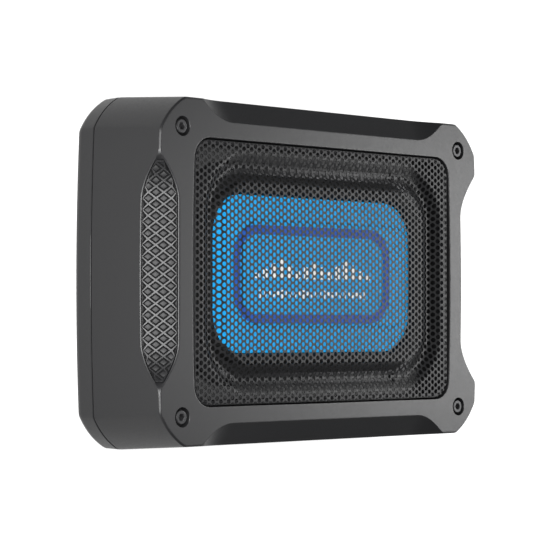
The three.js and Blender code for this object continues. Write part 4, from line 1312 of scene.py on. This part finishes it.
fit(panel_piece("socket_blades", together(*blades), plated_steel), "plated_steel")
fit(softened("fuse_carrier", "fuse_holder", control_finish), "control_plastic", "fuse_holder")
red_plastic = Finish("red_plastic", (0.5, 0.02, 0.015), 0.28)
red_plastic.mottle((0.42, 0.015, 0.012), (0.56, 0.03, 0.02), 120, 2)
red_plastic.uneven(0.22, 0.36, 500, 2)
fit(softened("blade_fuse", "fuse", red_plastic, 0.3), "red_plastic", "fuse")


# ---- Line inputs, remote port and power light ---------------------------------------------
# Two phono jacks with plated collars round a white and a red insert, a small round port for
# the wired remote, and the power light in its bezel.
LINE_X = (-27.0, -12.0)
white_plastic = Finish("white_plastic", (0.8, 0.8, 0.78), 0.4)
white_plastic.mottle((0.76, 0.76, 0.74), (0.84, 0.84, 0.82), 100)
white_plastic.uneven(0.34, 0.48, 500, 2)
collar = lathe([(3.45, -2.4), (4.15, -2.4), (4.15, 8), (3.45, 8)], closed=True,
               radii=[0, 0, 0.3, 0.2])
plate = block(LINE_X[0] - 8, LINE_X[1] + 8, -8, 8, -16, -2.5)
jack_block = together(plate, *(moved(collar, x, 0) for x in LINE_X))
fit(panel_piece("phono_jack_block", jack_block, plated_steel), "plated_steel", "line_input_block")
insert_profile = [(1.6, -2), (3.1, -2), (3.1, 7.5), (1.6, 7.5)]
for side, x, finish, slot in (("left", LINE_X[0], white_plastic, "white_plastic"),
                              ("right", LINE_X[1], red_plastic, "red_plastic")):
    insert = lathe(insert_profile, x, 0, closed=True, radii=[0, 0, 0.35, 0.35])
    fit(panel_piece(f"{side}_phono_insert", insert, finish), slot, f"{side}_line_insert")
PORT_X = 3.0
LIGHT_Y = 10.5
port_profile = [(1.8, -9), (3.3, -9), (3.3, 0.3), (5, 0.3), (5, 1.6), (1.8, 1.6)]
port = lathe(port_profile, PORT_X, 0, closed=True, radii=[0, 0, 0, 0.2, 0.5, 0.4])
fit(panel_piece("remote_jack", port, control_finish), "control_plastic", "remote_port")
lens_profile = [(1.5, -5), (1.5, 0.2), (1.25, 0.75), (0.7, 1.0)]
lens = panel_piece("light_lens",
                   lathe(lens_profile, PORT_X, LIGHT_Y, 32, radii=[0, 0.2, 0.25, 0]), red_plastic)
fit(lens, "red_plastic", "power_light")


# ---- Rotary controls ----------------------------------------------------------------------
# Three potentiometers behind the panel, each with a fluted black knob pushed over its shaft
# and a white pointer line let into the knob's rim.
FLUTES = 18


def knob():
    """A fluted cap: the skirt is smooth, the grip's radius swings with each flute."""
    count = FLUTES * 8
    angles = np.arange(count) / count * 2 * math.pi
    flute = 0.5 - 0.5 * np.cos(angles * FLUTES)
    rows = []
    for r, z, cut in [(5.5, 0.6, 0), (5.6, 0.75, 0), (5.6, 1.5, 0), (5.3, 1.9, 0),
                      (5.25, 2.3, 0.35), (5.15, 6.8, 0.35), (5.0, 7.3, 0.25),
                      (4.6, 7.7, 0.05), (4.1, 7.8, 0), (3.2, 7.6, 0)]:
        radius = r - cut * flute ** 2
        rows.append(np.column_stack([radius * np.cos(angles), radius * np.sin(angles),
                                     np.full(count, z)]))
    hollow = [level(np.column_stack([3.2 * np.cos(angles), 3.2 * np.sin(angles)]), z)
              for z in (5.4, 0.6)]
    return loft(hollow + rows)


def pot():
    case = block(-6, 6, -7, 7, -10.3, -2.3)
    shaft = lathe([(2.9, -2.2), (2.9, 4.6), (2.6, 5), (1.2, 5)], sides=40)
    return together(case, shaft)


for name, x in KNOB_X.items():
    body = f"{name}_knob_body"
    fit(panel_piece(f"{name}_potentiometer", moved(pot(), x, 0), plated_steel), "plated_steel",
        f"{name}_pot")
    fit(panel_piece(f"{name}_control_knob", moved(knob(), x, 0), control_finish, 50),
        "control_plastic",
        f"{name}_knob", body=body)
    pointer = block(x - 0.35, x + 0.35, 1.4, 4.7, 7.3, 7.85)
    fit(panel_piece(f"{name}_pointer", pointer, white_ink), "white_plastic", body=body)


# ---- Slide switches -----------------------------------------------------------------------
# Plated switch bodies behind the panel, each with a ribbed black slider that shows through.
SWITCH_X = 80.0
for name, y in (("phase", 6.5), ("auto_on", -6.5)):
    fit(softened(f"{name}_switch_case", f"{name}_switch_body", plated_steel, 0.2), "plated_steel",
        f"{name}_switch_body")
    ridges = [(SWITCH_X - 3.6, -5), (SWITCH_X - 3.6, 2.2)]
    for k in range(4):
        left = SWITCH_X - 3.5 + k * 0.82
        ridges += [(left, 2.4), (left + 0.4, 2.4), (left + 0.55, 2.0), (left + 0.8, 2.0)]
    ridges += [(SWITCH_X - 0.2, 2.2), (SWITCH_X - 0.2, -5)]
    side = np.array(ridges)
    rows = [np.column_stack([side[:, 0], np.full(len(side), y + edge), side[:, 1]])
            for edge in (-1.4, 1.4)]
    fit(panel_piece(f"{name}_switch_cap", loft(rows), control_finish), "control_plastic",
        f"{name}_slider",
        body=f"{name}_slider_body")


# ---- Amplifier ----------------------------------------------------------------------------
# A green board on four posts carries two electrolytic capacitors, a wound toroidal choke, two
# power transistors clamped to a finned aluminium heat sink, and small surface chips.
BOARD_TOP = 23.6
ON_BOARD = BOARD_TOP + 0.3
solder_mask = Finish("green_solder_mask", (0.015, 0.10, 0.04), 0.3)
tracks = solder_mask.add("ShaderNodeTexBrick",
                         {"Vector": solder_mask.place, "Scale": 60.0, "Mortar Size": 0.012},
                         "Fac", offset=0.37)
solder_mask.set("Base Color", solder_mask.mix(tracks, (0.012, 0.085, 0.032), (0.03, 0.17, 0.07)))
solder_mask.uneven(0.24, 0.38, 300, 2)
fit(softened("circuit_board", "amplifier_board", solder_mask, 0.2), "board", "amplifier_board")
can_profile = [(7.4, 0), (8, 0.6), (8, 2.2), (7.5, 2.8), (8, 3.4), (8, 22.2), (7.2, 23),
               (6.4, 22.8), (3, 22.8)]
can = lathe(can_profile, sides=48, radii=[0, 0.3, 0.3, 0.4, 0.3, 0.4, 0.3, 0.2, 0])
for side, x in (("left", -62.0), ("right", -40.0)):
    fit(build(f"{side}_capacitor_can", moved(can, x, -82, ON_BOARD), control_finish),
        "control_plastic",
        f"{side}_capacitor")

CHOKE = (-2.0, -82.0, ON_BOARD + 4)


def choke():
    """A ring whose surface swells and pinches with its turns of wire."""
    rows = []
    for a in np.arange(216) / 216 * 2 * math.pi:
        swell = 3.75 + 0.25 * abs(math.cos(a * 27))
        b = np.arange(20) / 20 * 2 * math.pi
        r = 9 + swell * np.cos(b)
        rows.append(np.column_stack([r * math.cos(a), r * math.sin(a), swell * np.sin(b)]) + CHOKE)
    return loft(rows, closed=True)


choke_wire = Finish("choke_wire", (0.5, 0.18, 0.07), 0.3, metallic=1.0)
choke_wire.mottle((0.42, 0.14, 0.05), (0.6, 0.24, 0.1), 150, 3)
choke_wire.uneven(0.25, 0.4, 300, 2)
fit(build("choke_winding", choke(), choke_wire, 70), "copper", "choke")
fit(softened("finned_heat_sink", "heat_sink", bare_aluminium), "aluminium", "heat_sink")
for side in ("left", "right"):
    fit(softened(f"{side}_power_transistor", f"{side}_transistor", control_finish, 0.3),
        "control_plastic",
        f"{side}_transistor")
CHIPS = [(18, -94, 5, 3), (-20, -70, 4, 4), (-80, -80, 3, 5), (60, -90, 6, 3.5), (-22, -94, 3, 2)]
chips = []
for x, y, hx, hy in CHIPS:
    rows = [level(rounded_rect(hx, hy, 0.4, 2) + (x, y), BOARD_TOP + 0.02),
            level(rounded_rect(hx, hy, 0.4, 2) + (x, y), BOARD_TOP + 1.1),
            level(rounded_rect(hx - 0.3, hy - 0.3, 0.3, 2) + (x, y), BOARD_TOP + 1.5)]
    chips.append(loft(rows))
fit(build("control_chips", together(*chips), control_finish), "control_plastic")
